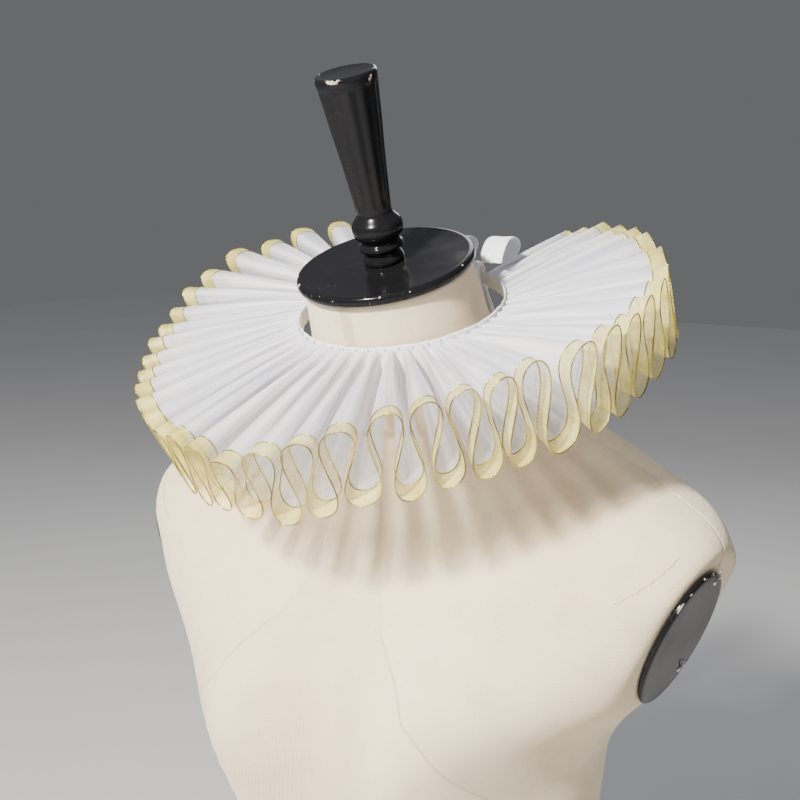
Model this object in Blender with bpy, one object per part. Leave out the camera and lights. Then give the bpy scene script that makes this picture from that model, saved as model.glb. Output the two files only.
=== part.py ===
"""Ruff collar of folded organza with a ribbon edge, tied round the neck of a dress form."""

import math

import bmesh
import bpy
import numpy as np
from mathutils import Vector

PART_NAME = "ruff_collar_on_dress_form"

# Neck of the form: it leans forward, and the collar, cap and finial follow its axis.
NECK_LEAN = math.radians(20.9)
CAP_Y = -0.036
CAP_Z = 0.700
SEAM_GAP = 0.0003

# Collar
OUTER_RADIUS = 0.171
RIBBON_WIDTH = 0.0100
NECKLINE_HALF_WIDTH = 0.0700
NECKLINE_HALF_DEPTH = 0.0621
NECKLINE_OFFSET = 0.0075
NECK_FOLD_HEIGHT = -0.0365
NECK_FOLD_SWING = 0.0016
FRILL_WALL = 0.0010
RIBBON_WALL = 0.0010
BAND_WALL = 0.0012
BAND_TOP = -0.0332
BAND_BOTTOM = -0.0437
BULGE = 0.27
STEPS_PER_STROKE = 6
TROUGH_INSET = 0.0055
TROUGH_INSET_TURN = 0.0085
TROUGH_DIP = 0.0040
TROUGH_DIP_AZIMUTH = 82.0
TROUGH_DIP_SPREAD = 14.0
RUFF_START = -146.5
RUFF_END = 163.5
NECK_END = 149.0
START_HEIGHT = -70.0
END_HEIGHT = -47.0

# Folds of the outer edge: azimuths in degrees from the front towards the wearer's left,
# heights in millimetres along the neck axis from the top of the cap.
FOLDS = (
    # crest_azimuth, crest_height, trough_azimuth, trough_height
    (-143.0, -26.0, -142.0, -73.0),
    (-134.8, -24.8, -133.5, -72.0),
    (-124.8, -21.2, -124.0, -69.0),
    (-116.4, -22.2, -115.2, -68.0),
    (-106.0, -17.6, -105.0, -65.0),
    (-96.7, -22.4, -95.8, -68.0),
    (-88.9, -25.7, -88.2, -71.0),
    (-82.3, -32.3, -81.8, -75.0),
    (-75.9, -36.2, -75.5, -78.0),
    (-69.5, -36.9, -69.0, -80.0),
    (-63.4, -41.1, -62.8, -83.0),
    (-57.0, -42.8, -56.4, -84.0),
    (-49.8, -42.3, -49.0, -85.0),
    (-42.0, -42.3, -41.2, -85.0),
    (-34.0, -42.3, -33.0, -86.0),
    (-26.3, -42.8, -24.8, -88.0),
    (-19.6, -39.2, -18.0, -88.5),
    (-12.9, -40.2, -11.6, -85.5),
    (-5.3, -45.0, -3.8, -85.0),
    (4.6, -35.1, 5.4, -84.0),
    (13.2, -28.4, 13.2, -77.1),
    (21.0, -22.3, 21.6, -70.0),
    (30.3, -15.6, 30.4, -69.5),
    (37.1, -13.7, 37.6, -66.0),
    (43.9, -12.2, 44.5, -66.1),
    (51.0, -12.3, 51.2, -65.7),
    (57.0, -10.0, 59.2, -67.0),
    (68.4, -13.4, 68.1, -67.6),
    (76.0, -14.0, 75.0, -68.5),
    (82.9, -16.9, 82.0, -67.4),
    (89.8, -15.5, 89.0, -66.5),
    (99.6, -19.0, 98.6, -67.5),
    (110.6, -24.5, 109.2, -70.0),
    (121.6, -25.8, 120.6, -71.5),
    (131.6, -25.9, 130.6, -72.5),
    (137.4, -27.8, 136.8, -74.0),
    (144.2, -31.5, 143.8, -77.0),
    (150.8, -34.0, 150.6, -80.0),
    (157.8, -42.0, 157.8, -84.0),
)

# Bow behind the neck
TIE_HEIGHT = -0.0365
TIE_WIDTH = 0.0160
TIE_WALL = 0.0010
KNOT_AZIMUTH = 159.5
KNOT_HALF = (0.0070, 0.0058, 0.0078)
LOOP_WIDTH = 0.0170
LOOP_LEFT_X = 0.0398
LOOP_RIGHT_X = 0.0082
# Loop of ribbon seen from the side, in the leaning frame of the neck, in millimetres.
LOOP_PATH = (
    # back, height
    (62.0, -27.6),
    (64.6, -22.6),
    (70.4, -18.6),
    (77.5, -17.0),
    (84.4, -18.6),
    (89.2, -22.8),
    (89.6, -27.2),
    (84.8, -30.2),
    (77.0, -31.2),
    (70.2, -31.0),
)
# Hanging tail: world positions in millimetres.
TAIL_PATH = (
    # back, height, half_width
    (40.2, 680.8, 4.0),
    (44.6, 671.0, 4.6),
    (53.5, 655.0, 5.4),
    (64.0, 637.0, 6.6),
    (75.5, 617.0, 7.6),
    (87.5, 596.0, 8.0),
    (99.5, 573.0, 8.0),
    (110.5, 550.0, 8.0),
)
TAIL_LEFT_X = (0.0283, 0.0350)
TAIL_RIGHT_X = (0.0197, 0.0090)

# Torso: horizontal sections that tilt forward as they near the neck.
TORSO_POINTS = 48
TORSO = (
    # back_shift, height, tilt_deg, half_width, front, back, bust, squareness (mm)
    (8, 10.3, 0, 156, 104, 112, 0, 2.10),
    (8, 30, 0, 161, 108, 116, 0, 2.10),
    (7, 80, 0, 159, 106, 116, 0, 2.10),
    (6, 140, 0, 144, 97, 101, 0, 2.10),
    (5, 190, 0, 126, 91, 86, 0, 2.08),
    (5, 235, 0, 118, 89, 78, 0, 2.05),
    (5, 280, 0, 122, 95, 82, 2, 2.05),
    (5, 325, 0, 129, 100, 90, 14, 2.08),
    (6, 360, 0, 132, 102, 97, 30, 2.12),
    (6, 390, 0, 136, 103, 102, 42, 2.18),
    (7, 418, 0, 152, 104, 106, 44, 2.25),
    (2, 445, 0, 178, 98, 113, 36, 2.35),
    (-4, 470, 0, 196, 87, 121, 22, 2.40),
    (-6, 495, 1, 207, 79, 123, 9, 2.40),
    (-6, 516, 2, 217, 72, 120, 2, 2.35),
    (-4, 534, 4, 212, 68, 112, 0, 2.25),
    (2, 549, 6, 200, 69, 99, 0, 2.20),
    (5, 563, 8, 178, 69, 88, 0, 2.15),
    (8, 577, 10, 152, 70, 77, 0, 2.10),
    (6, 590, 13, 127, 67, 70, 0, 2.05),
    (3, 602, 16, 103, 64.5, 64, 0, 2.0),
    (1, 613, 19, 83, 62, 60, 0, 2.0),
)
# Neck above the torso, square to its axis.
NECK = (
    # height_from_cap, half_width, front, back (mm)
    (-83.0, 69.0, 65.0, 67.0),
    (-72.0, 64.5, 58.5, 64.5),
    (-60.0, 60.5, 54.6, 62.5),
    (-43.0, 57.0, 52.7, 60.5),
    (-25.0, 55.0, 52.2, 58.0),
    (-6.8, 53.0, 52.0, 55.0),
)
BUST_AZIMUTH = 34.0
BUST_SPREAD = 25.0
ARM_PLANE_SLANT = math.radians(22.0)
ARM_PLANE_TURN = math.radians(10.0)
ARM_CENTRE = (0.1880, -0.012, 0.4840)
ARM_PLANE_FROM = 0.375
ARM_PLATE_HALF = (0.0330, 0.0470)
ARM_PLATE_PROFILE = (
    # scale, depth (mm)
    (1.00, 0.0),
    (1.01, 1.0),
    (1.00, 2.4),
    (0.97, 3.2),
)

# Cap and finial, turned about the neck axis.
CAP_PROFILE = (
    # height, radius (mm)
    (-6.5, 54.2),
    (-5.6, 56.0),
    (-3.6, 56.7),
    (-1.4, 56.2),
    (0.0, 54.4),
)
FINIAL_PROFILE = (
    # height, radius (mm)
    (0.3, 12.6),
    (3.2, 12.8),
    (5.6, 11.6),
    (7.4, 10.8),
    (9.4, 13.6),
    (12.0, 14.0),
    (13.8, 12.2),
    (15.2, 12.4),
    (18.6, 15.2),
    (22.5, 16.0),
    (26.6, 15.2),
    (30.2, 12.2),
    (32.4, 10.9),
    (35.0, 10.9),
    (60.0, 13.0),
    (88.0, 15.9),
    (110.0, 18.0),
    (113.6, 18.7),
    (116.4, 18.5),
    (117.9, 17.2),
)
FLUTED_FROM = 34.0
FLUTED_TO = 111.0
FLUTE_DEPTH = 0.0007
BASE_HALF = (0.150, 0.102)


def clear_scene():
    for item in list(bpy.data.objects):
        bpy.data.objects.remove(item, do_unlink=True)


def new_collection(name):
    collection = bpy.data.collections.new(name)
    bpy.context.scene.collection.children.link(collection)
    return collection


def new_material(name, colour, roughness, coat=0.0, metallic=0.0):
    material = bpy.data.materials.new(name)
    material.use_nodes = True
    shader = material.node_tree.nodes["Principled BSDF"]
    shader.inputs["Base Color"].default_value = (*colour, 1.0)
    shader.inputs["Roughness"].default_value = roughness
    shader.inputs["Metallic"].default_value = metallic
    shader.inputs["Coat Weight"].default_value = coat
    return material


def add_solid(collection, name, points, faces, material, smooth=True):
    """Make one closed object from its points and faces, with its faces turned outwards."""
    mesh = bpy.data.meshes.new(name)
    mesh.from_pydata([tuple(p) for p in points], [], faces)
    shape = bmesh.new()
    shape.from_mesh(mesh)
    bmesh.ops.recalc_face_normals(shape, faces=shape.faces)
    shape.to_mesh(mesh)
    shape.free()
    if smooth:
        mesh.polygons.foreach_set("use_smooth", [True] * len(mesh.polygons))
    item = bpy.data.objects.new(name, mesh)
    item.data.materials.append(material)
    collection.objects.link(item)
    return item


def from_neck(points):
    """Turn positions in the leaning frame of the neck into upright ones."""
    points = np.asarray(points, dtype=float)
    cos_lean = math.cos(NECK_LEAN)
    sin_lean = math.sin(NECK_LEAN)
    x, y, h = points[..., 0], points[..., 1], points[..., 2]
    return np.stack(
        [x, CAP_Y + y * cos_lean - h * sin_lean, CAP_Z + y * sin_lean + h * cos_lean], axis=-1
    )


def ring_solid(collection, name, rings, material, smooth=True):
    """Join rings of equal length into one closed solid with a flat face at each end."""
    count = len(rings[0])
    points = [point for ring in rings for point in ring]
    faces = []
    for row in range(len(rings) - 1):
        for i in range(count):
            j = (i + 1) % count
            base = row * count
            faces.append((base + i, base + j, base + count + j, base + count + i))
    faces.append(tuple(reversed(range(count))))
    last = (len(rings) - 1) * count
    faces.append(tuple(range(last, last + count)))
    return add_solid(collection, name, points, faces, material, smooth)


def sheet_normals(sheet):
    """Unit normals of a grid of points, from the directions of its rows and columns."""
    along = np.gradient(sheet, axis=0)
    across = np.gradient(sheet, axis=1)
    normals = np.cross(along, across)
    return normals / np.linalg.norm(normals, axis=-1, keepdims=True)


def wall_solid(collection, name, sheet, normals, thickness, material, smooth=True):
    """Give a grid of points a thickness, closed along its four edges."""
    rows, columns = sheet.shape[:2]
    outer = sheet + normals * (thickness / 2.0)
    inner = sheet - normals * (thickness / 2.0)
    points = np.concatenate([outer.reshape(-1, 3), inner.reshape(-1, 3)])
    shift = rows * columns
    faces = []
    for i in range(rows - 1):
        for j in range(columns - 1):
            a = i * columns + j
            b, c, d = a + 1, a + columns + 1, a + columns
            faces.append((a, b, c, d))
            faces.append((shift + d, shift + c, shift + b, shift + a))
    edge = [j for j in range(columns)]
    edge += [i * columns + columns - 1 for i in range(1, rows)]
    edge += [(rows - 1) * columns + j for j in range(columns - 2, -1, -1)]
    edge += [i * columns for i in range(rows - 2, 0, -1)]
    for k, a in enumerate(edge):
        b = edge[(k + 1) % len(edge)]
        faces.append((a, shift + a, shift + b, b))
    return add_solid(collection, name, points, faces, material, smooth)


def neckline(azimuth, inset=0.0):
    """Point of the neckline ellipse at an azimuth in degrees, moved inwards by inset."""
    angle = np.radians(azimuth)
    x = (NECKLINE_HALF_WIDTH - inset) * np.sin(angle)
    y = NECKLINE_OFFSET - (NECKLINE_HALF_DEPTH - inset) * np.cos(angle)
    return x, y


def apex_table():
    """Turning points of the outer edge from end to end: azimuth, height, crest flag, bulge."""
    crests = [row[0] for row in FOLDS]
    troughs = [row[2] for row in FOLDS]
    apexes = [(RUFF_START, START_HEIGHT, 0.0, 0.8)]
    for i, row in enumerate(FOLDS):
        crest_before = crests[i] - (crests[i - 1] if i else RUFF_START)
        crest_after = (crests[i + 1] if i + 1 < len(FOLDS) else RUFF_END) - crests[i]
        trough_before = troughs[i] - (troughs[i - 1] if i else RUFF_START)
        trough_after = (troughs[i + 1] if i + 1 < len(FOLDS) else troughs[i] + 7.0) - troughs[i]
        crest_bulge = BULGE * min(crest_before, crest_after, 9.0)
        trough_bulge = BULGE * min(trough_before, trough_after, 9.5)
        apexes.append((row[0], row[1], 1.0, crest_bulge))
        apexes.append((row[2], row[3], 0.0, trough_bulge))
    apexes.append((RUFF_END, END_HEIGHT, 1.0, 0.6))
    return np.array(apexes)


def edge_curves():
    """Neck edge and outer edge of the folded strip, point by point along its length."""
    apexes = apex_table()
    count = len(apexes)
    neck_azimuths = RUFF_START + (NECK_END - RUFF_START) * np.arange(count) / (count - 1)
    outer = []
    neck = []
    for k in range(count - 1):
        azimuth_0, height_0, crest_0, bulge_0 = apexes[k]
        azimuth_1, height_1, crest_1, bulge_1 = apexes[k + 1]
        last = k == count - 2
        steps = np.arange(STEPS_PER_STROKE + (1 if last else 0)) / STEPS_PER_STROKE
        for s in steps:
            ease = (1.0 - math.cos(math.pi * s)) / 2.0
            bulge = bulge_0 + (bulge_1 - bulge_0) * s
            azimuth = azimuth_0 + (azimuth_1 - azimuth_0) * s + bulge * math.sin(2.0 * math.pi * s)
            height = (height_0 + (height_1 - height_0) * ease) / 1000.0
            crest = crest_0 + (crest_1 - crest_0) * ease
            turn = math.radians(azimuth)
            away = (azimuth - TROUGH_DIP_AZIMUTH) / TROUGH_DIP_SPREAD
            dip = TROUGH_DIP * math.exp(-(away**2))
            inset = TROUGH_INSET - TROUGH_INSET_TURN * math.sin(turn) + dip
            radius = OUTER_RADIUS - inset * (1.0 - crest)
            outer.append((radius * math.sin(turn), -radius * math.cos(turn), height))
            neck_azimuth = neck_azimuths[k] + (neck_azimuths[k + 1] - neck_azimuths[k]) * s
            x, y = neckline(neck_azimuth)
            swing = NECK_FOLD_SWING * (2.0 * crest - 1.0)
            neck.append((float(x), float(y), NECK_FOLD_HEIGHT + swing))
    return np.array(neck), np.array(outer)


def build_ruff(collection, organza, ribbon):
    """Frill and its edge ribbon, both parts of one folded surface."""
    neck, outer = edge_curves()
    length = OUTER_RADIUS - (NECKLINE_HALF_WIDTH + NECKLINE_HALF_DEPTH) / 2.0
    frill_end = 1.0 - (RIBBON_WIDTH + SEAM_GAP) / length
    ribbon_start = 1.0 - RIBBON_WIDTH / length
    shares = np.array([0.0, 0.42, frill_end, ribbon_start, 1.0])
    sheet = neck[:, None, :] + (outer - neck)[:, None, :] * shares[None, :, None]
    sheet[:, 1, 2] += 0.0012
    sheet = from_neck(sheet)
    normals = sheet_normals(sheet)
    wall_solid(collection, "ruff_frill", sheet[:, :3], normals[:, :3], FRILL_WALL, organza)
    wall_solid(collection, "edge_ribbon", sheet[:, 3:], normals[:, 3:], RIBBON_WALL, ribbon)


def band_sheet(start, end, steps, inset, top, bottom):
    """Upright strip that follows the neckline between two azimuths."""
    azimuths = np.linspace(start, end, steps + 1)
    x, y = neckline(azimuths, inset)
    rows = np.array([top, (top + bottom) / 2.0, bottom])
    sheet = np.empty((steps + 1, 3, 3))
    sheet[..., 0] = x[:, None]
    sheet[..., 1] = y[:, None]
    sheet[..., 2] = rows[None, :]
    return from_neck(sheet)


def build_band_and_ties(collection, tape, satin):
    inset = SEAM_GAP + BAND_WALL / 2.0
    band = band_sheet(RUFF_START, NECK_END, 60, inset, BAND_TOP, BAND_BOTTOM)
    wall_solid(collection, "neckband", band, sheet_normals(band), BAND_WALL, tape)
    mean_radius = (NECKLINE_HALF_WIDTH + NECKLINE_HALF_DEPTH) / 2.0
    seam = math.degrees(SEAM_GAP / mean_radius)
    knot_reach = math.degrees((KNOT_HALF[0] + SEAM_GAP) / mean_radius)
    top = TIE_HEIGHT + TIE_WIDTH / 2.0
    bottom = TIE_HEIGHT - TIE_WIDTH / 2.0
    left = band_sheet(NECK_END + seam, KNOT_AZIMUTH - knot_reach, 4, inset, top, bottom)
    wall_solid(collection, "tie_left", left, sheet_normals(left), TIE_WALL, satin)
    right_end = RUFF_START + 360.0 - seam
    right = band_sheet(KNOT_AZIMUTH + knot_reach, right_end, 10, inset, top, bottom)
    wall_solid(collection, "tie_right", right, sheet_normals(right), TIE_WALL, satin)


def build_knot(collection, satin):
    """Rounded knot with a soft waist, its long side along the neck axis."""
    x0, y0 = neckline(KNOT_AZIMUTH, SEAM_GAP + BAND_WALL / 2.0)
    half_x, half_y, half_z = KNOT_HALF
    levels = ((-1.0, 0.62), (-0.72, 0.9), (-0.3, 1.0), (0.3, 1.0), (0.72, 0.9), (1.0, 0.62))
    rings = []
    for level, scale in levels:
        ring = []
        for k in range(16):
            angle = 2.0 * math.pi * k / 16
            c, s = math.cos(angle), math.sin(angle)
            x = math.copysign(abs(c) ** 0.6, c) * half_x * scale
            y = math.copysign(abs(s) ** 0.6, s) * half_y * scale
            ring.append((float(x0) + x, float(y0) + y, TIE_HEIGHT + half_z * level))
        rings.append(from_neck(ring))
    ring_solid(collection, "bow_knot", rings, satin)


def build_loop(collection, name, centre_x, satin):
    path = np.array(LOOP_PATH) / 1000.0
    count = len(path)
    side = np.array([-0.5, 0.0, 0.5]) * LOOP_WIDTH
    sheet = np.empty((count, 3, 3))
    sheet[..., 0] = centre_x + side[None, :]
    sheet[..., 1] = path[:, None, 0]
    sheet[..., 2] = path[:, None, 1]
    sheet = from_neck(sheet)
    wall_solid(collection, name, sheet, sheet_normals(sheet), TIE_WALL, satin)


def build_tail(collection, name, x_range, satin):
    path = np.array(TAIL_PATH) / 1000.0
    count = len(path)
    share = np.linspace(0.0, 1.0, count) ** 1.3
    centre = x_range[0] + (x_range[1] - x_range[0]) * share
    side = np.array([-1.0, 0.0, 1.0])
    sheet = np.empty((count, 3, 3))
    sheet[..., 0] = centre[:, None] + side[None, :] * path[:, None, 2]
    sheet[..., 1] = path[:, None, 0]
    sheet[..., 2] = path[:, None, 1]
    sheet[-1, :, 2] += np.array([0.004, 0.0, -0.004]) * (1.0 if x_range[1] > 0 else -1.0)
    wall_solid(collection, name, sheet, sheet_normals(sheet), TIE_WALL, satin)


def arm_plane_x(y, height):
    """Distance of the slanted arm plane from the middle of the form."""
    rise = (height - ARM_CENTRE[2]) * math.tan(ARM_PLANE_SLANT)
    return ARM_CENTRE[0] + rise + (y - ARM_CENTRE[1]) * math.tan(ARM_PLANE_TURN)


def torso_ring(row):
    """One closed section of the torso, cut flat at the two arm planes."""
    shift, height, tilt_deg, half_width, front, back, bust, power = row
    tilt = math.radians(tilt_deg)
    ring = []
    for k in range(TORSO_POINTS):
        angle = 2.0 * math.pi * k / TORSO_POINTS
        s, c = math.sin(angle), math.cos(angle)
        reach = front if c > 0 else back
        size = 2.0 / power
        x = math.copysign(abs(s) ** size, s) * half_width
        y = -math.copysign(abs(c) ** size, c) * reach
        if c > 0:
            azimuth = math.degrees(math.atan2(x, -y))
            bump = math.exp(-(((abs(azimuth) - BUST_AZIMUTH) / BUST_SPREAD) ** 2))
            y -= bust * bump
        x, y = x / 1000.0, y / 1000.0
        z = height / 1000.0 + y * math.sin(tilt)
        y = shift / 1000.0 + y * math.cos(tilt)
        limit = arm_plane_x(y, z) if z > ARM_PLANE_FROM else abs(x)
        ring.append((max(-limit, min(limit, x)), y, z))
    return ring


def build_torso(collection, linen):
    rings = [torso_ring(row) for row in TORSO]
    for height, half_width, front, back in NECK:
        ring = []
        for k in range(TORSO_POINTS):
            angle = 2.0 * math.pi * k / TORSO_POINTS
            s, c = math.sin(angle), math.cos(angle)
            reach = front if c > 0 else back
            ring.append((half_width * s / 1000.0, -reach * c / 1000.0, height / 1000.0))
        rings.append(from_neck(ring))
    ring_solid(collection, "form_torso", rings, linen)


def build_arm_plate(collection, name, side, lacquer):
    """Oval plate lying just off the flat of the arm."""
    normal = Vector((1.0, -math.tan(ARM_PLANE_TURN), -math.tan(ARM_PLANE_SLANT))).normalized()
    across = Vector((0.0, 0.0, 1.0)).cross(normal).normalized()
    up = normal.cross(across)
    centre = Vector(ARM_CENTRE) + normal * SEAM_GAP
    rings = []
    for scale, depth in ARM_PLATE_PROFILE:
        ring = []
        for k in range(36):
            angle = 2.0 * math.pi * k / 36
            point = centre + normal * (depth / 1000.0)
            point = point + across * (ARM_PLATE_HALF[0] * scale * math.cos(angle))
            point = point + up * (ARM_PLATE_HALF[1] * scale * math.sin(angle))
            ring.append((point.x * side, point.y, point.z))
        rings.append(ring)
    ring_solid(collection, name, rings, lacquer, smooth=False)


def turned_solid(collection, name, profile, segments, material, flutes=False):
    """Solid turned about the neck axis, with flutes down its taper if asked for."""
    rings = []
    for height, radius in profile:
        ring = []
        fluted = flutes and FLUTED_FROM < height < FLUTED_TO
        for k in range(segments):
            angle = 2.0 * math.pi * k / segments
            reach = radius / 1000.0
            if fluted and k % 2:
                reach -= FLUTE_DEPTH
            ring.append((reach * math.sin(angle), -reach * math.cos(angle), height / 1000.0))
        rings.append(from_neck(ring))
    ring_solid(collection, name, rings, material)


def build_base(collection, lacquer):
    rings = []
    for scale, height in ((0.985, 0.0), (1.0, 0.002), (1.0, 0.008), (0.985, 0.010)):
        ring = []
        for k in range(48):
            angle = 2.0 * math.pi * k / 48
            x = BASE_HALF[0] * scale * math.sin(angle)
            y = TORSO[0][0] / 1000.0 - BASE_HALF[1] * scale * math.cos(angle)
            ring.append((x, y, height))
        rings.append(ring)
    ring_solid(collection, "base_plate", rings, lacquer, smooth=False)


def main():
    clear_scene()
    collection = new_collection(PART_NAME)
    organza = new_material("white_organza", (0.90, 0.90, 0.93), 0.55)
    ribbon = new_material("cream_gold_ribbon", (0.86, 0.80, 0.50), 0.40)
    tape = new_material("white_cotton_tape", (0.92, 0.92, 0.92), 0.80)
    satin = new_material("white_satin", (0.93, 0.93, 0.95), 0.35)
    linen = new_material("cream_linen", (0.80, 0.70, 0.55), 0.90)
    lacquer = new_material("black_lacquered_wood", (0.012, 0.012, 0.013), 0.18, coat=0.6)

    build_ruff(collection, organza, ribbon)
    build_band_and_ties(collection, tape, satin)
    build_knot(collection, satin)
    build_loop(collection, "bow_loop_left", LOOP_LEFT_X, satin)
    build_loop(collection, "bow_loop_right", LOOP_RIGHT_X, satin)
    build_tail(collection, "bow_tail_left", TAIL_LEFT_X, satin)
    build_tail(collection, "bow_tail_right", TAIL_RIGHT_X, satin)
    build_torso(collection, linen)
    build_arm_plate(collection, "arm_plate_left", 1.0, lacquer)
    build_arm_plate(collection, "arm_plate_right", -1.0, lacquer)
    turned_solid(collection, "neck_cap", CAP_PROFILE, 48, lacquer)
    turned_solid(collection, "finial", FINIAL_PROFILE, 24, lacquer, flutes=True)
    build_base(collection, lacquer)


if __name__ == "__main__":
    main()
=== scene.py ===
"""Looks of a ruff collar of folded organza, tied round the neck of a dress form.

Lengths are in metres unless a name or a table says millimetres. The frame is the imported
model's: +Z up, the form faces -Y, and +X is the wearer's left.
"""
import logging
import math
from dataclasses import dataclass, field
from enum import Enum

import bmesh
import bpy
import numpy as np
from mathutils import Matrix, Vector


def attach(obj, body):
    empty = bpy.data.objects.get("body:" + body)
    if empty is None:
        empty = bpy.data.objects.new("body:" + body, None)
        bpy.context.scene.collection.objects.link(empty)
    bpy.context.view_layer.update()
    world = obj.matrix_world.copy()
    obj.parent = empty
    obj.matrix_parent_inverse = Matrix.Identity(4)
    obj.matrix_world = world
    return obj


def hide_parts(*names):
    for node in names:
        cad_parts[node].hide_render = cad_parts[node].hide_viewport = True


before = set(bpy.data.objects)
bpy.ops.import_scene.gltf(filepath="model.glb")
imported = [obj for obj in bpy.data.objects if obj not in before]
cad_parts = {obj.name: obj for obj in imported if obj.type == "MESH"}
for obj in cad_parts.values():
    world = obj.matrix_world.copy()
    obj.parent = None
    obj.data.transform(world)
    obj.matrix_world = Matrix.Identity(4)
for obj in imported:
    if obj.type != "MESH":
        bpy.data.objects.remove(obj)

logging.basicConfig(level=logging.INFO, format="%(levelname)s %(message)s")
log = logging.getLogger("ruff_collar")

Pair = tuple[float, float]
Triple = tuple[float, float, float]
Table = tuple[tuple[float, ...], ...]
Socket = bpy.types.NodeSocket

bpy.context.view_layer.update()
MILLIMETRE = 0.001

# Folds of the ruff's outer edge: azimuths in degrees from the front towards the wearer's
# left, heights in millimetres along the neck from the top of the cap.
FOLDS = np.array([
    # crest_azimuth, crest_height, trough_azimuth, trough_height
    (-143.0, -26.0, -142.0, -73.0),
    (-134.8, -24.8, -133.5, -72.0),
    (-124.8, -21.2, -124.0, -69.0),
    (-116.4, -22.2, -115.2, -68.0),
    (-106.0, -17.6, -105.0, -65.0),
    (-96.7, -22.4, -95.8, -68.0),
    (-88.9, -25.7, -88.2, -71.0),
    (-82.3, -32.3, -81.8, -75.0),
    (-75.9, -36.2, -75.5, -78.0),
    (-69.5, -36.9, -69.0, -80.0),
    (-63.4, -41.1, -62.8, -83.0),
    (-57.0, -42.8, -56.4, -84.0),
    (-49.8, -42.3, -49.0, -85.0),
    (-42.0, -42.3, -41.2, -85.0),
    (-34.0, -42.3, -33.0, -86.0),
    (-26.3, -42.8, -24.8, -88.0),
    (-19.6, -39.2, -18.0, -88.5),
    (-12.9, -40.2, -11.6, -85.5),
    (-5.3, -45.0, -3.8, -85.0),
    (4.6, -35.1, 5.4, -84.0),
    (13.2, -28.4, 13.2, -77.1),
    (21.0, -22.3, 21.6, -70.0),
    (30.3, -15.6, 30.4, -69.5),
    (37.1, -13.7, 37.6, -66.0),
    (43.9, -12.2, 44.5, -66.1),
    (51.0, -12.3, 51.2, -65.7),
    (57.0, -10.0, 59.2, -67.0),
    (68.4, -13.4, 68.1, -67.6),
    (76.0, -14.0, 75.0, -68.5),
    (82.9, -16.9, 82.0, -67.4),
    (89.8, -15.5, 89.0, -66.5),
    (99.6, -19.0, 98.6, -67.5),
    (110.6, -24.5, 109.2, -70.0),
    (121.6, -25.8, 120.6, -71.5),
    (131.6, -25.9, 130.6, -72.5),
    (137.4, -27.8, 136.8, -74.0),
    (144.2, -31.5, 143.8, -77.0),
    (150.8, -34.0, 150.6, -80.0),
    (157.8, -42.0, 157.8, -84.0),
])

# Horizontal sections of the torso, in millimetres, that tilt forward as they near the neck.
TORSO_SECTIONS = np.array([
    # back_shift, height, tilt_deg, half_width, front, back, bust, squareness
    (8, 10.3, 0, 156, 104, 112, 0, 2.10),
    (8, 30, 0, 161, 108, 116, 0, 2.10),
    (7, 80, 0, 159, 106, 116, 0, 2.10),
    (6, 140, 0, 144, 97, 101, 0, 2.10),
    (5, 190, 0, 126, 91, 86, 0, 2.08),
    (5, 235, 0, 118, 89, 78, 0, 2.05),
    (5, 280, 0, 122, 95, 82, 2, 2.05),
    (5, 325, 0, 129, 100, 90, 14, 2.08),
    (6, 360, 0, 132, 102, 97, 30, 2.12),
    (6, 390, 0, 136, 103, 102, 42, 2.18),
    (7, 418, 0, 152, 104, 106, 44, 2.25),
    (2, 445, 0, 178, 98, 113, 36, 2.35),
    (-4, 470, 0, 196, 87, 121, 22, 2.40),
    (-6, 495, 1, 207, 79, 123, 9, 2.40),
    (-6, 516, 2, 217, 72, 120, 2, 2.35),
    (-4, 534, 4, 212, 68, 112, 0, 2.25),
    (2, 549, 6, 200, 69, 99, 0, 2.20),
    (5, 563, 8, 178, 69, 88, 0, 2.15),
    (8, 577, 10, 152, 70, 77, 0, 2.10),
    (6, 590, 13, 127, 67, 70, 0, 2.05),
    (3, 602, 16, 103, 64.5, 64, 0, 2.0),
    (1, 613, 19, 83, 62, 60, 0, 2.0),
])
# Neck above the torso, square to its own axis, in millimetres.
NECK_SECTIONS = np.array([
    # height_from_cap, half_width, front, back
    (-83.0, 69.0, 65.0, 67.0),
    (-72.0, 64.5, 58.5, 64.5),
    (-60.0, 60.5, 54.6, 62.5),
    (-43.0, 57.0, 52.7, 60.5),
    (-25.0, 55.0, 52.2, 58.0),
    (-6.8, 53.0, 52.0, 55.0),
])


# Frames and surfaces


class Side(Enum):
    """A side of the form as its wearer has it, with its sign along X."""

    LEFT = 1.0
    RIGHT = -1.0

    @property
    def word(self) -> str:
        """The side as the names of pieces and nodes have it."""
        return self.name.lower()


@dataclass(frozen=True)
class NeckFrame:
    """The axes of the leaning neck: x across, y to the back, h along the neck from its cap."""

    lean: float = math.radians(20.9)
    cap_y: float = -0.036
    cap_z: float = 0.700

    def upright(self, points: np.ndarray) -> np.ndarray:
        """Turns positions (x, y, h) by the lean about X and moves them to the cap.

        Args:
            points: Positions in the neck's frame, any shape that ends in 3.

        Returns:
            The same positions in the upright frame.
        """
        cos_lean, sin_lean = math.cos(self.lean), math.sin(self.lean)
        x, y, h = points[..., 0], points[..., 1], points[..., 2]
        return np.stack(
            [x, self.cap_y + y * cos_lean - h * sin_lean, self.cap_z + y * sin_lean + h * cos_lean],
            axis=-1,
        )


NECK = NeckFrame()


@dataclass
class Shape:
    """Points and faces of one surface, with a texture place for each face corner."""

    points: np.ndarray
    faces: list[list[int]]
    corner_uv: np.ndarray
    values: dict[str, np.ndarray] = field(default_factory=dict)


def unit(vectors: np.ndarray) -> np.ndarray:
    """Vectors divided by their lengths."""
    return vectors / np.maximum(np.linalg.norm(vectors, axis=-1, keepdims=True), 1e-12)


def distances(points: np.ndarray) -> np.ndarray:
    """Distance along a row of points from its first one, as the sum of the steps between them."""
    steps = np.linalg.norm(np.diff(points, axis=0), axis=-1)
    return np.concatenate([[0.0], np.cumsum(steps)])


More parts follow.
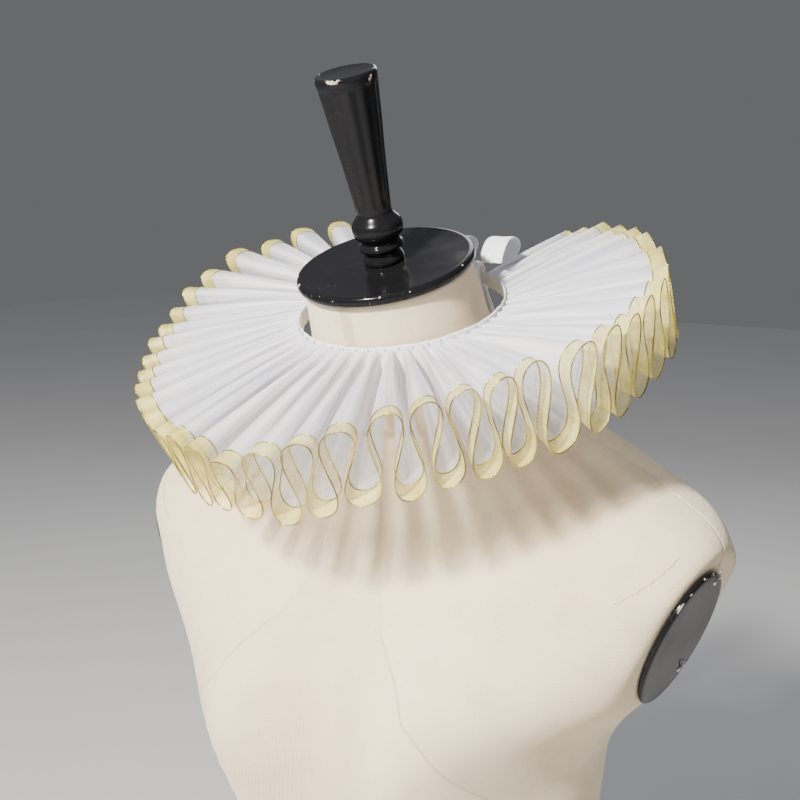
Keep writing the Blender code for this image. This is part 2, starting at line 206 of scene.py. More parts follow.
def smooth_rows(rows: np.ndarray, steps: int) -> np.ndarray:
    """Carries a smooth curve through rows of values, with a Catmull-Rom cubic in each gap.

    Args:
        rows: Values to pass through; the first axis runs along the curve.
        steps: New rows for each gap.

    Returns:
        The finer rows, the given ones among them.
    """
    place = np.arange((len(rows) - 1) * steps + 1) / steps
    gap = np.minimum(place.astype(int), len(rows) - 2)
    share = (place - gap).reshape(-1, *([1] * (rows.ndim - 1)))
    padded = with_ends(rows)
    return cubic([padded[gap + k] for k in range(4)], share)


def with_ends(rows: np.ndarray) -> np.ndarray:
    """Rows with one more at each end, as far beyond the last as its neighbour is before it."""
    return np.concatenate([2.0 * rows[:1] - rows[1:2], rows, 2.0 * rows[-1:] - rows[-2:-1]])


def cubic(rows: list[np.ndarray], share: np.ndarray) -> np.ndarray:
    """Catmull-Rom value: a cubic between two rows, sloped at each as its neighbours are.

    Args:
        rows: The row before, the two rows between which the value lies, and the row after.
        share: Share of the way from the second row to the third.

    Returns:
        The value at that share.
    """
    a, b, c, d = rows
    return 0.5 * (
        2.0 * b + (c - a) * share + (2.0 * a - 5.0 * b + 4.0 * c - d) * share**2
        + (3.0 * b - 3.0 * c + d - a) * share**3
    )


def grid_shape(
    points: np.ndarray,
    closed: bool = False,
    capped: bool = False,
    along: np.ndarray | None = None,
    across: np.ndarray | None = None,
    values: dict[str, np.ndarray] | None = None,
) -> Shape:
    """Joins a grid of points into quads: each face takes two neighbours in two rows.

    Args:
        points: Grid of rows x columns x 3.
        closed: The columns close into a ring.
        capped: The first and last row are closed by a fan to their middle.
        along: Texture distance of each row; by default the distance along column 0.
        across: Texture distance of each column, one more than the columns if closed.
        values: Named grids of one number for each point.

    Returns:
        The shape.
    """
    rows, columns = points.shape[:2]
    span = columns if closed else columns - 1
    i, j = np.meshgrid(np.arange(rows - 1), np.arange(span), indexing="ij")
    following = (j + 1) % columns
    quads = np.stack(
        [i * columns + j, i * columns + following, (i + 1) * columns + following,
         (i + 1) * columns + j], axis=-1,
    ).reshape(-1, 4)
    if along is None:
        along = distances(points[:, 0])
    if across is None:
        middle = points[rows // 2]
        ring = np.concatenate([middle, middle[:1]]) if closed else middle
        across = distances(ring)
    u = np.stack([along[i], along[i], along[i + 1], along[i + 1]], axis=-1)
    v = np.stack([across[j], across[j + 1], across[j + 1], across[j]], axis=-1)
    corner_uv = np.stack([u, v], axis=-1).reshape(-1, 2)
    flat_values = {name: np.asarray(grid, float).ravel() for name, grid in (values or {}).items()}
    all_points, faces = points.reshape(-1, 3), quads.tolist()
    if capped:
        k = np.arange(columns)
        middles = np.stack([points[0].mean(axis=0), points[-1].mean(axis=0)])
        first, last = rows * columns, rows * columns + 1
        start = np.stack([(k + 1) % columns, k, np.full(columns, first)], axis=-1)
        end = np.stack([k, (k + 1) % columns, np.full(columns, last)], axis=-1)
        end[:, :2] += (rows - 1) * columns
        faces += start.tolist() + end.tolist()
        corner_uv = np.concatenate([corner_uv, np.zeros((6 * columns, 2))])
        all_points = np.concatenate([all_points, middles])
        flat_values = {
            name: np.concatenate([row, [row[0], row[-1]]]) for name, row in flat_values.items()
        }
    return Shape(all_points, faces, corner_uv, flat_values)


def joined(shapes: list[Shape]) -> Shape:
    """Puts several shapes into one, with each one's faces moved on by the points before it.

    Args:
        shapes: Shapes with the same named values.

    Returns:
        One shape.
    """
    starts = np.cumsum([0] + [len(shape.points) for shape in shapes])
    faces = [
        [corner + int(start) for corner in face]
        for shape, start in zip(shapes, starts)
        for face in shape.faces
    ]
    names = shapes[0].values
    return Shape(
        np.concatenate([shape.points for shape in shapes]),
        faces,
        np.concatenate([shape.corner_uv for shape in shapes]),
        {name: np.concatenate([shape.values[name] for shape in shapes]) for name in names},
    )


def grid_normals(points: np.ndarray, closed: bool = False) -> np.ndarray:
    """Unit normals of a grid: the cross product of its two directions at each point.

    Args:
        points: Grid of rows x columns x 3.
        closed: The columns close into a ring.

    Returns:
        A grid of unit vectors.
    """
    along = np.gradient(points, axis=0)
    if closed:
        across = np.roll(points, -1, axis=1) - np.roll(points, 1, axis=1)
    else:
        across = np.gradient(points, axis=1)
    return unit(np.cross(along, across))


def carried(
    path: np.ndarray, side: np.ndarray, out: np.ndarray, profile: np.ndarray
) -> np.ndarray:
    """Carries a closed profile along a path: middle + side * first + out * second number.

    Args:
        path: Middle of each station, rows x 3.
        side: Direction of the profile's first number at each station.
        out: Direction of its second number.
        profile: Points x 2, or rows x points x 2 where it changes along the path.

    Returns:
        A grid of rows x profile points x 3.
    """
    if profile.ndim == 2:
        profile = np.broadcast_to(profile, (len(path), *profile.shape))
    return (
        path[:, None, :]
        + side[:, None, :] * profile[..., :1]
        + out[:, None, :] * profile[..., 1:]
    )


def ring_profile(radius: float, points: int) -> np.ndarray:
    """Circle of that radius as points x 2."""
    turn = 2.0 * np.pi * np.arange(points) / points
    return radius * np.stack([np.cos(turn), np.sin(turn)], axis=-1)


def strip_profile(width: float, wall: float, points: int = 9) -> np.ndarray:
    """Thin strip with round edges: one side from edge to edge, then the other side back.

    Args:
        width: Width of the strip.
        wall: Its thickness in the middle; the edges taper to a third.
        points: Points on each side.

    Returns:
        Closed profile as points x 2.
    """
    x = np.linspace(-0.5, 0.5, points)
    half = wall * (0.17 + 0.33 * np.sqrt(np.clip(1.0 - (2.0 * x) ** 6, 0.0, 1.0)))
    over = np.stack([x * width, half], axis=-1)
    under = np.stack([x[::-1] * width, -half[::-1]], axis=-1)
    return np.concatenate([over, under])


def wander(place: np.ndarray, *waves: Triple) -> np.ndarray:
    """Sum of sines, each given as (amplitude, turns per unit of place, shift), for uneven lines."""
    return sum(size * np.sin(2.0 * np.pi * rate * place + shift) for size, rate, shift in waves)


def stitch_shape(
    middles: np.ndarray, along: np.ndarray, out: np.ndarray, half: float, radius: float
) -> Shape:
    """Short sewn stitches: a bead of rings along each stitch, bowed off the cloth in its middle.

    Args:
        middles: Middle of each stitch, stitches x 3.
        along: Unit direction of each stitch.
        out: Unit direction off the cloth at each stitch.
        half: Half the length of a stitch.
        radius: Radius of the thread.

    Returns:
        All stitches as one shape.
    """
    share = np.array([-1.0, -0.6, 0.0, 0.6, 1.0])
    width = np.array([0.35, 0.9, 1.0, 0.9, 0.35])
    sides, gaps = 6, len(share) - 1
    side = np.cross(along, out)
    turn = 2.0 * np.pi * np.arange(sides) / sides
    circle = (
        out[:, None, :] * np.sin(turn)[None, :, None]
        + side[:, None, :] * np.cos(turn)[None, :, None]
    )
    rise = radius * (1.0 - share**2)
    points = (
        middles[:, None, None, :]
        + along[:, None, None, :] * (half * share)[None, :, None, None]
        + out[:, None, None, :] * rise[None, :, None, None]
        + circle[:, None, :, :] * (radius * width)[None, :, None, None]
    )
    ring, corner = np.meshgrid(sides * np.arange(gaps), np.arange(sides), indexing="ij")
    following = (corner + 1) % sides
    row = np.stack(
        [ring + corner, ring + following, ring + sides + following, ring + sides + corner], axis=-1
    ).reshape(-1, 4)
    starts = sides * (gaps + 1) * np.arange(len(middles))
    faces = (row[None] + starts[:, None, None]).reshape(-1, 4).tolist()
    ends = np.stack([np.arange(sides)[::-1], sides * gaps + np.arange(sides)])
    faces += (ends[None] + starts[:, None, None]).reshape(-1, sides).tolist()
    corners = sum(len(face) for face in faces)
    return Shape(points.reshape(-1, 3), faces, np.zeros((corners, 2)))


def turned(
    height: np.ndarray, radius: np.ndarray, wear: np.ndarray, segments: int,
    flutes: np.ndarray | None = None, flatness: float = 1.0, centre_y: float | None = None,
) -> Shape:
    """Turns a profile about an axis: x = radius sin(turn), y = -radius cos(turn).

    Args:
        height: Heights in millimetres.
        radius: Radii in millimetres.
        wear: Wear of each ring from 0 to 1.
        segments: Points round each ring.
        flutes: Depth of twelve flutes at each ring, in millimetres.
        flatness: Share of the radius that each ring has from front to back.
        centre_y: Middle of an upright stack, or None for the neck's own axis.

    Returns:
        The closed shape.
    """
    turn = 2.0 * np.pi * np.arange(segments) / segments
    reach = radius[:, None] * np.ones((1, segments))
    if flutes is not None:
        reach = reach - flutes[:, None] * (0.5 - 0.5 * np.cos(12.0 * turn))[None, :]
    grid = np.stack(
        [reach * np.sin(turn), -reach * np.cos(turn) * flatness,
         height[:, None] + 0.0 * reach], axis=-1,
    ) * MILLIMETRE
    if centre_y is None:
        grid = NECK.upright(grid)
    else:
        grid = grid + np.array([0.0, centre_y, 0.0])
    return grid_shape(
        grid, closed=True, capped=True, values={"wear": wear[:, None] * np.ones((1, segments))}
    )


# Finishes


class Spacing(Enum):
    """The way in which threads follow one another on the cloth, as the wave node names it."""

    ALONG = "X"
    ACROSS = "Y"
    SLANTED = "DIAGONAL"


class Painter:
    """Adds nodes to one material and joins them to its shader."""

    def __init__(self, name: str) -> None:
        """Starts a node material.

        Args:
            name: Name of the material.
        """
        self.material = bpy.data.materials.new(name)
        self.material.use_nodes = True
        self.tree = self.material.node_tree
        self.shader = self.tree.nodes["Principled BSDF"]

    def feed(self, socket: Socket, value: object) -> None:
        """Joins a socket to another, or sets its value; a colour of three numbers gets alpha 1.

        Args:
            socket: The input.
            value: The socket that feeds it, a number, a vector or a colour.
        """
        if isinstance(value, Socket):
            self.tree.links.new(value, socket)
        elif isinstance(value, tuple) and socket.type == "RGBA" and len(value) == 3:
            socket.default_value = (*value, 1.0)
        else:
            socket.default_value = value

    def node(self, kind: str, sockets: dict, **settings: object) -> bpy.types.Node:
        """Adds a node.

        Args:
            kind: Blender's name of the node.
            sockets: Value or socket for each input, by its name or number.
            **settings: The node's own options.

        Returns:
            The node.
        """
        made = self.tree.nodes.new(kind)
        for key, value in settings.items():
            setattr(made, key, value)
        for key, value in sockets.items():
            self.feed(made.inputs[key], value)
        return made

    def place(self) -> Socket:
        """Position on the object, in metres."""
        return self.node("ShaderNodeTexCoord", {}).outputs["Object"]

    def cloth_place(self) -> Socket:
        """Position along and across the cloth, in metres, from the piece's own UV map."""
        return self.node("ShaderNodeUVMap", {}, uv_map="UVMap").outputs["UV"]

    def value(self, name: str) -> Socket:
        """The piece's own number of that name."""
        return self.node("ShaderNodeAttribute", {}, attribute_name=name).outputs["Fac"]

    def stretched(self, vector: Socket, scale: Triple) -> Socket:
        """A position times a scale for each direction."""
        return self.node("ShaderNodeMapping", {"Vector": vector, "Scale": scale}).outputs[0]

    def noise(
        self, vector: Socket, scale: float, detail: float = 2.0, bend: float = 0.0
    ) -> Socket:
        """Soft uneven pattern around 0.5.

        Args:
            vector: Where it is read.
            scale: Lumps to a metre.
            detail: Number of finer layers in it.
            bend: How far it is drawn out of shape.

        Returns:
            The pattern, from 0 to 1.
        """
        sockets = {"Vector": vector, "Scale": scale, "Detail": detail, "Distortion": bend}
        return self.node("ShaderNodeTexNoise", sockets).outputs[0]

    def bands(
        self, vector: Socket, pitch: float, spacing: Spacing, bend: float = 0.0
    ) -> Socket:
        """Threads side by side: a sine whose phase is 20 x scale x distance, as the node has it.

        Args:
            vector: Where they are read.
            pitch: Distance from one thread to the next.
            spacing: The way in which they follow one another.
            bend: How far they wander.

        Returns:
            The pattern, from 0 to 1.
        """
        sockets = {"Vector": vector, "Scale": 2.0 * math.pi / (20.0 * pitch), "Distortion": bend}
        return self.node(
            "ShaderNodeTexWave", sockets, wave_type="BANDS", bands_direction=spacing.value
        ).outputs["Fac"]

    def math(self, operation: str, a: object, b: object = 0.0) -> Socket:
        """One sum on two numbers."""
        return self.node("ShaderNodeMath", {0: a, 1: b}, operation=operation).outputs[0]

    def spread(
        self, value: Socket, low: float, high: float,
        to_low: float = 0.0, to_high: float = 1.0,
    ) -> Socket:
        """Stretches one range over another in a straight line, and holds it at its ends.

        Args:
            value: The number that is stretched.
            low: Where its range starts.
            high: Where its range ends.
            to_low: What the start becomes.
            to_high: What the end becomes.

        Returns:
            The stretched number.
        """
        sockets = {
            "Value": value, "From Min": low, "From Max": high, "To Min": to_low, "To Max": to_high
        }
        return self.node("ShaderNodeMapRange", sockets, clamp=True).outputs[0]

    def mixed(self, share: object, first: object, second: object) -> Socket:
        """A colour between two others, by share."""
        sockets = {0: share, 6: first, 7: second}
        return self.node("ShaderNodeMix", sockets, data_type="RGBA").outputs[2]

    def bump(
        self, height: Socket, depth: float, under: object = None
    ) -> Socket:
        """Relief on the surface.

        Args:
            height: Height from 0 to 1.
            depth: Depth of the relief, in metres.
            under: Relief that it lies on.

        Returns:
            The surface's direction.
        """
        sockets = {"Height": height, "Distance": depth, "Strength": 1.0}
        if under is not None:
            sockets["Normal"] = under
        return self.node("ShaderNodeBump", sockets).outputs[0]

    def finish(self, constants: dict, **joined_sockets: object) -> bpy.types.Material:
        """Sets the shader's own numbers and joins its other sockets.

        Args:
            constants: A number for each named socket, the same all over the surface.
            **joined_sockets: Sockets by name, with underscores for spaces.

        Returns:
            The material.
        """
        for name, number in constants.items():
            self.shader.inputs[name].default_value = number
        for name, socket in joined_sockets.items():
            self.feed(self.shader.inputs[name.replace("_", " ")], socket)
        return self.material


@dataclass(frozen=True)
class Organza:
    """Sheer crisp cloth: see-through, with soft radial creases carrying painted lavender shade, and
    a fine open weave.
    """

    shade: Triple = (0.66, 0.66, 0.80)
    light: Triple = (0.98, 0.98, 1.0)
    thread_pitch: float = 0.0007

    def material(self) -> bpy.types.Material:
        """Makes the material.

        Creases run across the strip, so their noise is stretched that way; colour is painted
        lavender shade in the hollows of the creases, and alpha is the piece's own cover, made
        uneven by the creases.

        Returns:
            The material.
        """
        p = Painter("sheer_white_organza")
        cloth = p.cloth_place()
        crease = p.noise(p.stretched(cloth, (150.0, 9.0, 1.0)), 1.0, 3.0)
        crinkle = p.noise(p.stretched(cloth, (700.0, 60.0, 1.0)), 1.0, 2.0)
        weave = p.math(
            "MULTIPLY",
            p.bands(cloth, self.thread_pitch, Spacing.ALONG),
            p.bands(cloth, self.thread_pitch, Spacing.ACROSS),
        )
        # painted shade: the colour turns lavender in the hollows of the crease relief
        colour = p.mixed(p.spread(crease, 0.34, 0.60), self.shade, self.light)
        uneven = p.spread(crease, 0.3, 0.7, 0.86, 1.14)
        alpha = p.math("MINIMUM", p.math("MULTIPLY", p.value("cover"), uneven), 0.96)
        relief = p.bump(crease, 0.0010)
        relief = p.bump(crinkle, 0.0002, relief)
        relief = p.bump(weave, 0.00005, relief)
        constants = {
            "Roughness": 0.42, "Sheen Weight": 0.35, "Sheen Roughness": 0.35,
            "Specular IOR Level": 0.35,
        }
        return p.finish(constants, Base_Color=colour, Alpha=alpha, Normal=relief)


@dataclass(frozen=True)
class EdgeRibbonCloth:
    """Cream ribbon, nearly sheer, with fine threads along it and a dull silk gleam."""

    cream: Triple = (0.82, 0.69, 0.12)
    pale: Triple = (0.94, 0.86, 0.34)

    def material(self) -> bpy.types.Material:
        """Makes the material.

        Colour drifts between two creams, and gleam and opacity follow patches of noise.

        Returns:
            The material.
        """
        p = Painter("cream_sheer_ribbon")
        cloth = p.cloth_place()
        patch = p.noise(p.stretched(cloth, (60.0, 90.0, 1.0)), 1.0, 3.0)
        crinkle = p.noise(p.stretched(cloth, (420.0, 200.0, 1.0)), 1.0, 3.0)
        threads = p.bands(cloth, 0.0009, Spacing.ALONG)
        colour = p.mixed(p.spread(patch, 0.35, 0.65), self.cream, self.pale)
        alpha = p.spread(patch, 0.3, 0.7, 0.41, 0.65)
        gloss = p.spread(crinkle, 0.35, 0.65, 0.18, 0.42)
        relief = p.bump(crinkle, 0.0007)
        relief = p.bump(threads, 0.00006, relief)
        constants = {"Sheen Weight": 0.25, "Sheen Roughness": 0.3, "Specular IOR Level": 0.6}
        return p.finish(
            constants, Base_Color=colour, Alpha=alpha, Roughness=gloss, Normal=relief
        )


@dataclass(frozen=True)
class GoldThread:
    """Metal thread, twisted, with painted shade in its grooves and painted glints in patches."""

    bright: Triple = (0.80, 0.68, 0.13)
    painted_shade_gold: Triple = (0.17, 0.14, 0.04)

    def material(self) -> bpy.types.Material:
        """Makes the material.

        Its twist is bands along the thread, painted darker in its grooves as shade; noise patches
        paint gold glints over darker thread, and the twist shows less where they are dark.

        Returns:
            The material.
        """
        p = Painter("dull_gold_thread")
        cloth = p.cloth_place()
        twist = p.bands(p.stretched(cloth, (1.0, 0.8, 1.0)), 0.0011, Spacing.SLANTED)
        glint_patches = p.noise(p.place(), 55.0, 2.0)
        # painted shade in the twist's grooves, and painted glints in noise patches over darker
        # thread
        lit = p.spread(twist, 0.0, 1.0, 0.5, 1.0)
        share = p.math("MULTIPLY", lit, p.spread(glint_patches, 0.42, 0.56, 0.1, 1.0))
        colour = p.mixed(share, self.painted_shade_gold, self.bright)
        relief = p.bump(twist, 0.0001)
        constants = {"Metallic": 0.8, "Roughness": 0.3}
        return p.finish(constants, Base_Color=colour, Normal=relief)


@dataclass(frozen=True)
class PlainCloth:
    """Matt woven cloth of one colour, with painted shade as a darker second tone in the hollows of
    its crinkle.
    """

    name: str
    light: Triple
    shade: Triple
    pitch: float
    roughness: float = 0.85
    sheen: float = 0.2

    def material(self) -> bpy.types.Material:
        """Makes the material.

        Threads both ways are bands, and tone and crinkle are one noise, whose hollows get painted
        shade.

        Returns:
            The material.
        """
        p = Painter(self.name)
        cloth = p.cloth_place()
        warp = p.bands(cloth, self.pitch, Spacing.ALONG, 0.4)
        weft = p.bands(cloth, self.pitch, Spacing.ACROSS, 0.4)
        tone = p.noise(p.place(), 60.0, 4.0)
        # painted shade: the shade colour falls in the hollows of the same noise that makes the
        # relief
        colour = p.mixed(p.spread(tone, 0.3, 0.7), self.shade, self.light)
        relief = p.bump(tone, 0.0008)
        relief = p.bump(p.math("ADD", warp, weft), 0.00008, relief)
        constants = {
            "Roughness": self.roughness, "Sheen Weight": self.sheen, "Sheen Roughness": 0.5,
            "Specular IOR Level": 0.3,
        }
        return p.finish(constants, Base_Color=colour, Normal=relief)


@dataclass(frozen=True)
class Satin:
    """White satin ribbon: long floats that gleam across their length, slightly crumpled, with
    painted bluish shade in the crumples' hollows.
    """

    light: Triple = (0.93, 0.93, 0.96)
    shade: Triple = (0.78, 0.79, 0.86)

    def material(self) -> bpy.types.Material:
        """Makes the material.

        Floats along the ribbon are stretched noise, and crumples are broad noise whose hollows get
        painted shade.

        Returns:
            The material.
        """
        p = Painter("white_satin")
        cloth = p.cloth_place()
        floats = p.noise(p.stretched(cloth, (60.0, 2600.0, 1.0)), 1.0, 1.0)
        crumple = p.noise(p.place(), 130.0, 3.0)
        # painted shade: the bluish shade colour falls in the hollows of the crumple relief
        colour = p.mixed(p.spread(crumple, 0.3, 0.65), self.shade, self.light)
        relief = p.bump(crumple, 0.0011)
        relief = p.bump(floats, 0.00006, relief)
        constants = {
            "Roughness": 0.3, "Sheen Weight": 0.2, "Sheen Roughness": 0.3, "Anisotropic": 0.45,
            "Specular IOR Level": 0.55,
        }
        return p.finish(constants, Base_Color=colour, Normal=relief)


@dataclass(frozen=True)
class Linen:
    """Cream linen stretched over the form: slubs, faint stains, seams and pin marks."""

    light: Triple = (0.88, 0.75, 0.53)
    shade: Triple = (0.77, 0.62, 0.40)
    stain: Triple = (0.47, 0.37, 0.24)

    def material(self) -> bpy.types.Material:
        """Makes the material.

        Tone is broad noise, threads are bands, and seams are the piece's own seam number.

        Returns:
            The material.
        """
        p = Painter("cream_linen")
        place, cloth = p.place(), p.cloth_place()
        broad = p.noise(place, 7.0, 3.0)
        mottle = p.noise(place, 45.0, 4.0)
        colour = p.mixed(p.spread(broad, 0.3, 0.7), self.shade, self.light)
        colour = p.mixed(p.spread(mottle, 0.5, 0.75, 0.0, 0.2), colour, self.stain)
        specks = p.noise(place, 520.0, 1.0)
        colour = p.mixed(p.spread(specks, 0.70, 0.78, 0.0, 0.45), colour, self.stain)
        seam = p.value("seam")
        colour = p.mixed(p.math("MULTIPLY", seam, 0.6), colour, self.stain)
        warp = p.bands(cloth, 0.0009, Spacing.ALONG, 1.2)
        weft = p.bands(cloth, 0.0010, Spacing.ACROSS, 1.2)
        slubs = p.noise(p.stretched(cloth, (500.0, 60.0, 1.0)), 1.0, 2.0)
        relief = p.bump(mottle, 0.0006)
        relief = p.bump(slubs, 0.00022, relief)
        relief = p.bump(p.math("MULTIPLY", warp, weft), 0.00016, relief)
        constants = {
            "Roughness": 0.88, "Sheen Weight": 0.25, "Sheen Roughness": 0.5,
            "Specular IOR Level": 0.25,
        }
        return p.finish(constants, Base_Color=colour, Normal=relief)


@dataclass(frozen=True)
class Lacquer:
    """Black gloss lacquer on wood: hair scratches, dust, and chips along its rims."""

    black: Triple = (0.007, 0.007, 0.008)
    grey: Triple = (0.03, 0.03, 0.032)
    bare: Triple = (0.42, 0.38, 0.32)

    def material(self) -> bpy.types.Material:
        """Makes the material.

        Scratches are thin contour lines of a noise, and chips the peaks of a finer one, lower
        where the piece's own wear is high.

        Returns:
            The material.
        """
        p = Painter("black_gloss_lacquer")
        place = p.place()
        drift = p.noise(place, 16.0, 2.0, 0.6)
        line = p.math("ABSOLUTE", p.math("SUBTRACT", drift, 0.5))
        kept = p.spread(p.noise(place, 48.0, 2.0), 0.5, 0.56)
        scratch = p.math("MULTIPLY", p.spread(line, 0.0, 0.0022, 1.0, 0.0), kept)
        dust = p.spread(p.noise(place, 620.0, 1.0), 0.7, 0.78, 0.0, 0.5)
        rough_edge = p.noise(place, 170.0, 4.0)
        chip = p.spread(
            p.math("ADD", rough_edge, p.math("MULTIPLY", p.value("wear"), 0.22)), 0.835, 0.86
        )
        colour = p.mixed(p.math("MAXIMUM", scratch, dust), self.black, self.grey)
        colour = p.mixed(chip, colour, self.bare)
        smudge = p.spread(p.noise(place, 30.0, 3.0), 0.35, 0.7, 0.08, 0.24)
        gloss = p.math("MAXIMUM", smudge, p.math("MULTIPLY", chip, 0.75))
        relief = p.bump(p.math("SUBTRACT", 1.0, chip), 0.0004)
        relief = p.bump(p.noise(place, 260.0, 2.0), 0.00004, relief)
        constants = {"Coat Weight": 0.05, "Coat Roughness": 0.06, "Specular IOR Level": 0.13}
        return p.finish(constants, Base_Color=colour, Roughness=gloss, Normal=relief)


@dataclass(frozen=True)
class Steel:
    """Worn steel of the small fittings."""

    bright: Triple = (0.62, 0.61, 0.58)
    dull: Triple = (0.22, 0.20, 0.18)

    def material(self) -> bpy.types.Material:
        """Makes the material.

        Dull, rougher patches are a noise over bright metal.

        Returns:
            The material.
        """
        p = Painter("worn_steel")
        worn = p.noise(p.place(), 400.0, 3.0)
        colour = p.mixed(p.spread(worn, 0.4, 0.65), self.bright, self.dull)
        rough = p.spread(worn, 0.4, 0.65, 0.25, 0.55)
        return p.finish({"Metallic": 1.0}, Base_Color=colour, Roughness=rough)


class Finish(Enum):
    """Finishes of this object, each with the record's slot that it belongs to."""

    ORGANZA = ("organza", Organza())
    RIBBON = ("ribbon", EdgeRibbonCloth())
    GOLD = ("ribbon", GoldThread())
    TAPE = ("tape", PlainCloth("white_cotton_tape", (0.92, 0.92, 0.93), (0.78, 0.79, 0.83), 0.0008))
    STITCH = (
        "tape", PlainCloth("grey_sewing_thread", (0.34, 0.31, 0.28), (0.18, 0.16, 0.14), 0.0006)
    )
    SATIN = ("satin", Satin())
    LINEN = ("linen", Linen())
    LINEN_THREAD = (
        "linen", PlainCloth("brown_sewing_thread", (0.40, 0.31, 0.20), (0.24, 0.17, 0.1), 0.0006)
    )
    LACQUER = ("lacquer", Lacquer())
    STEEL = ("lacquer", Steel())

    @property
    def slot(self) -> str:
        """The record's slot."""
        return self.value[0]

    def material(self) -> bpy.types.Material:
        """A new material of this finish."""
        return self.value[1].material()


class Workshop:
    """Makes pieces from shapes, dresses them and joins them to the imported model."""

    def __init__(self) -> None:
        """Starts with no finish made."""
        self.materials: dict[Finish, bpy.types.Material] = {}

    def material(self, finish: Finish) -> bpy.types.Material:
        """The finish's material, made the first time that it is asked for.

        Args:
            finish: The finish.

        Returns:
            Its material.
        """
        if finish not in self.materials:
            self.materials[finish] = finish.material()
        return self.materials[finish]

    def piece(
        self, name: str, shape: Shape, finish: Finish, replaces: tuple[str, ...] = (),
        closed: bool = True,
    ) -> bpy.types.Object:
        """Makes one piece of the object from its shape.

        Args:
            name: Name of the piece.
            shape: Points, faces and numbers.
            finish: Its finish.
            replaces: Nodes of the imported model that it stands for.
            closed: The surface is closed, and its faces are turned outwards.

        Returns:
            The piece.
        """
        mesh = bpy.data.meshes.new(name)
        mesh.from_pydata(shape.points.tolist(), [], shape.faces)
        layer = mesh.uv_layers.new(name="UVMap")
        layer.data.foreach_set("uv", shape.corner_uv.astype(np.float32).ravel())
        for key, row in shape.values.items():
            kept = mesh.attributes.new(key, "FLOAT", "POINT")
            kept.data.foreach_set("value", row.astype(np.float32))
        if closed:
            work = bmesh.new()
            work.from_mesh(mesh)
            bmesh.ops.recalc_face_normals(work, faces=work.faces)
            work.to_mesh(mesh)
            work.free()
        mesh.polygons.foreach_set("use_smooth", [True] * len(mesh.polygons))
        mesh.materials.append(self.material(finish))
        made = bpy.data.objects.new(name, mesh)
        bpy.context.scene.collection.objects.link(made)
        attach(made, "root")
        if replaces:
            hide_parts(*replaces)
        finish.slot
        mesh.calc_loop_triangles()
        log.info("%s: %d triangles", name, len(mesh.loop_triangles))
        return made


# Collar


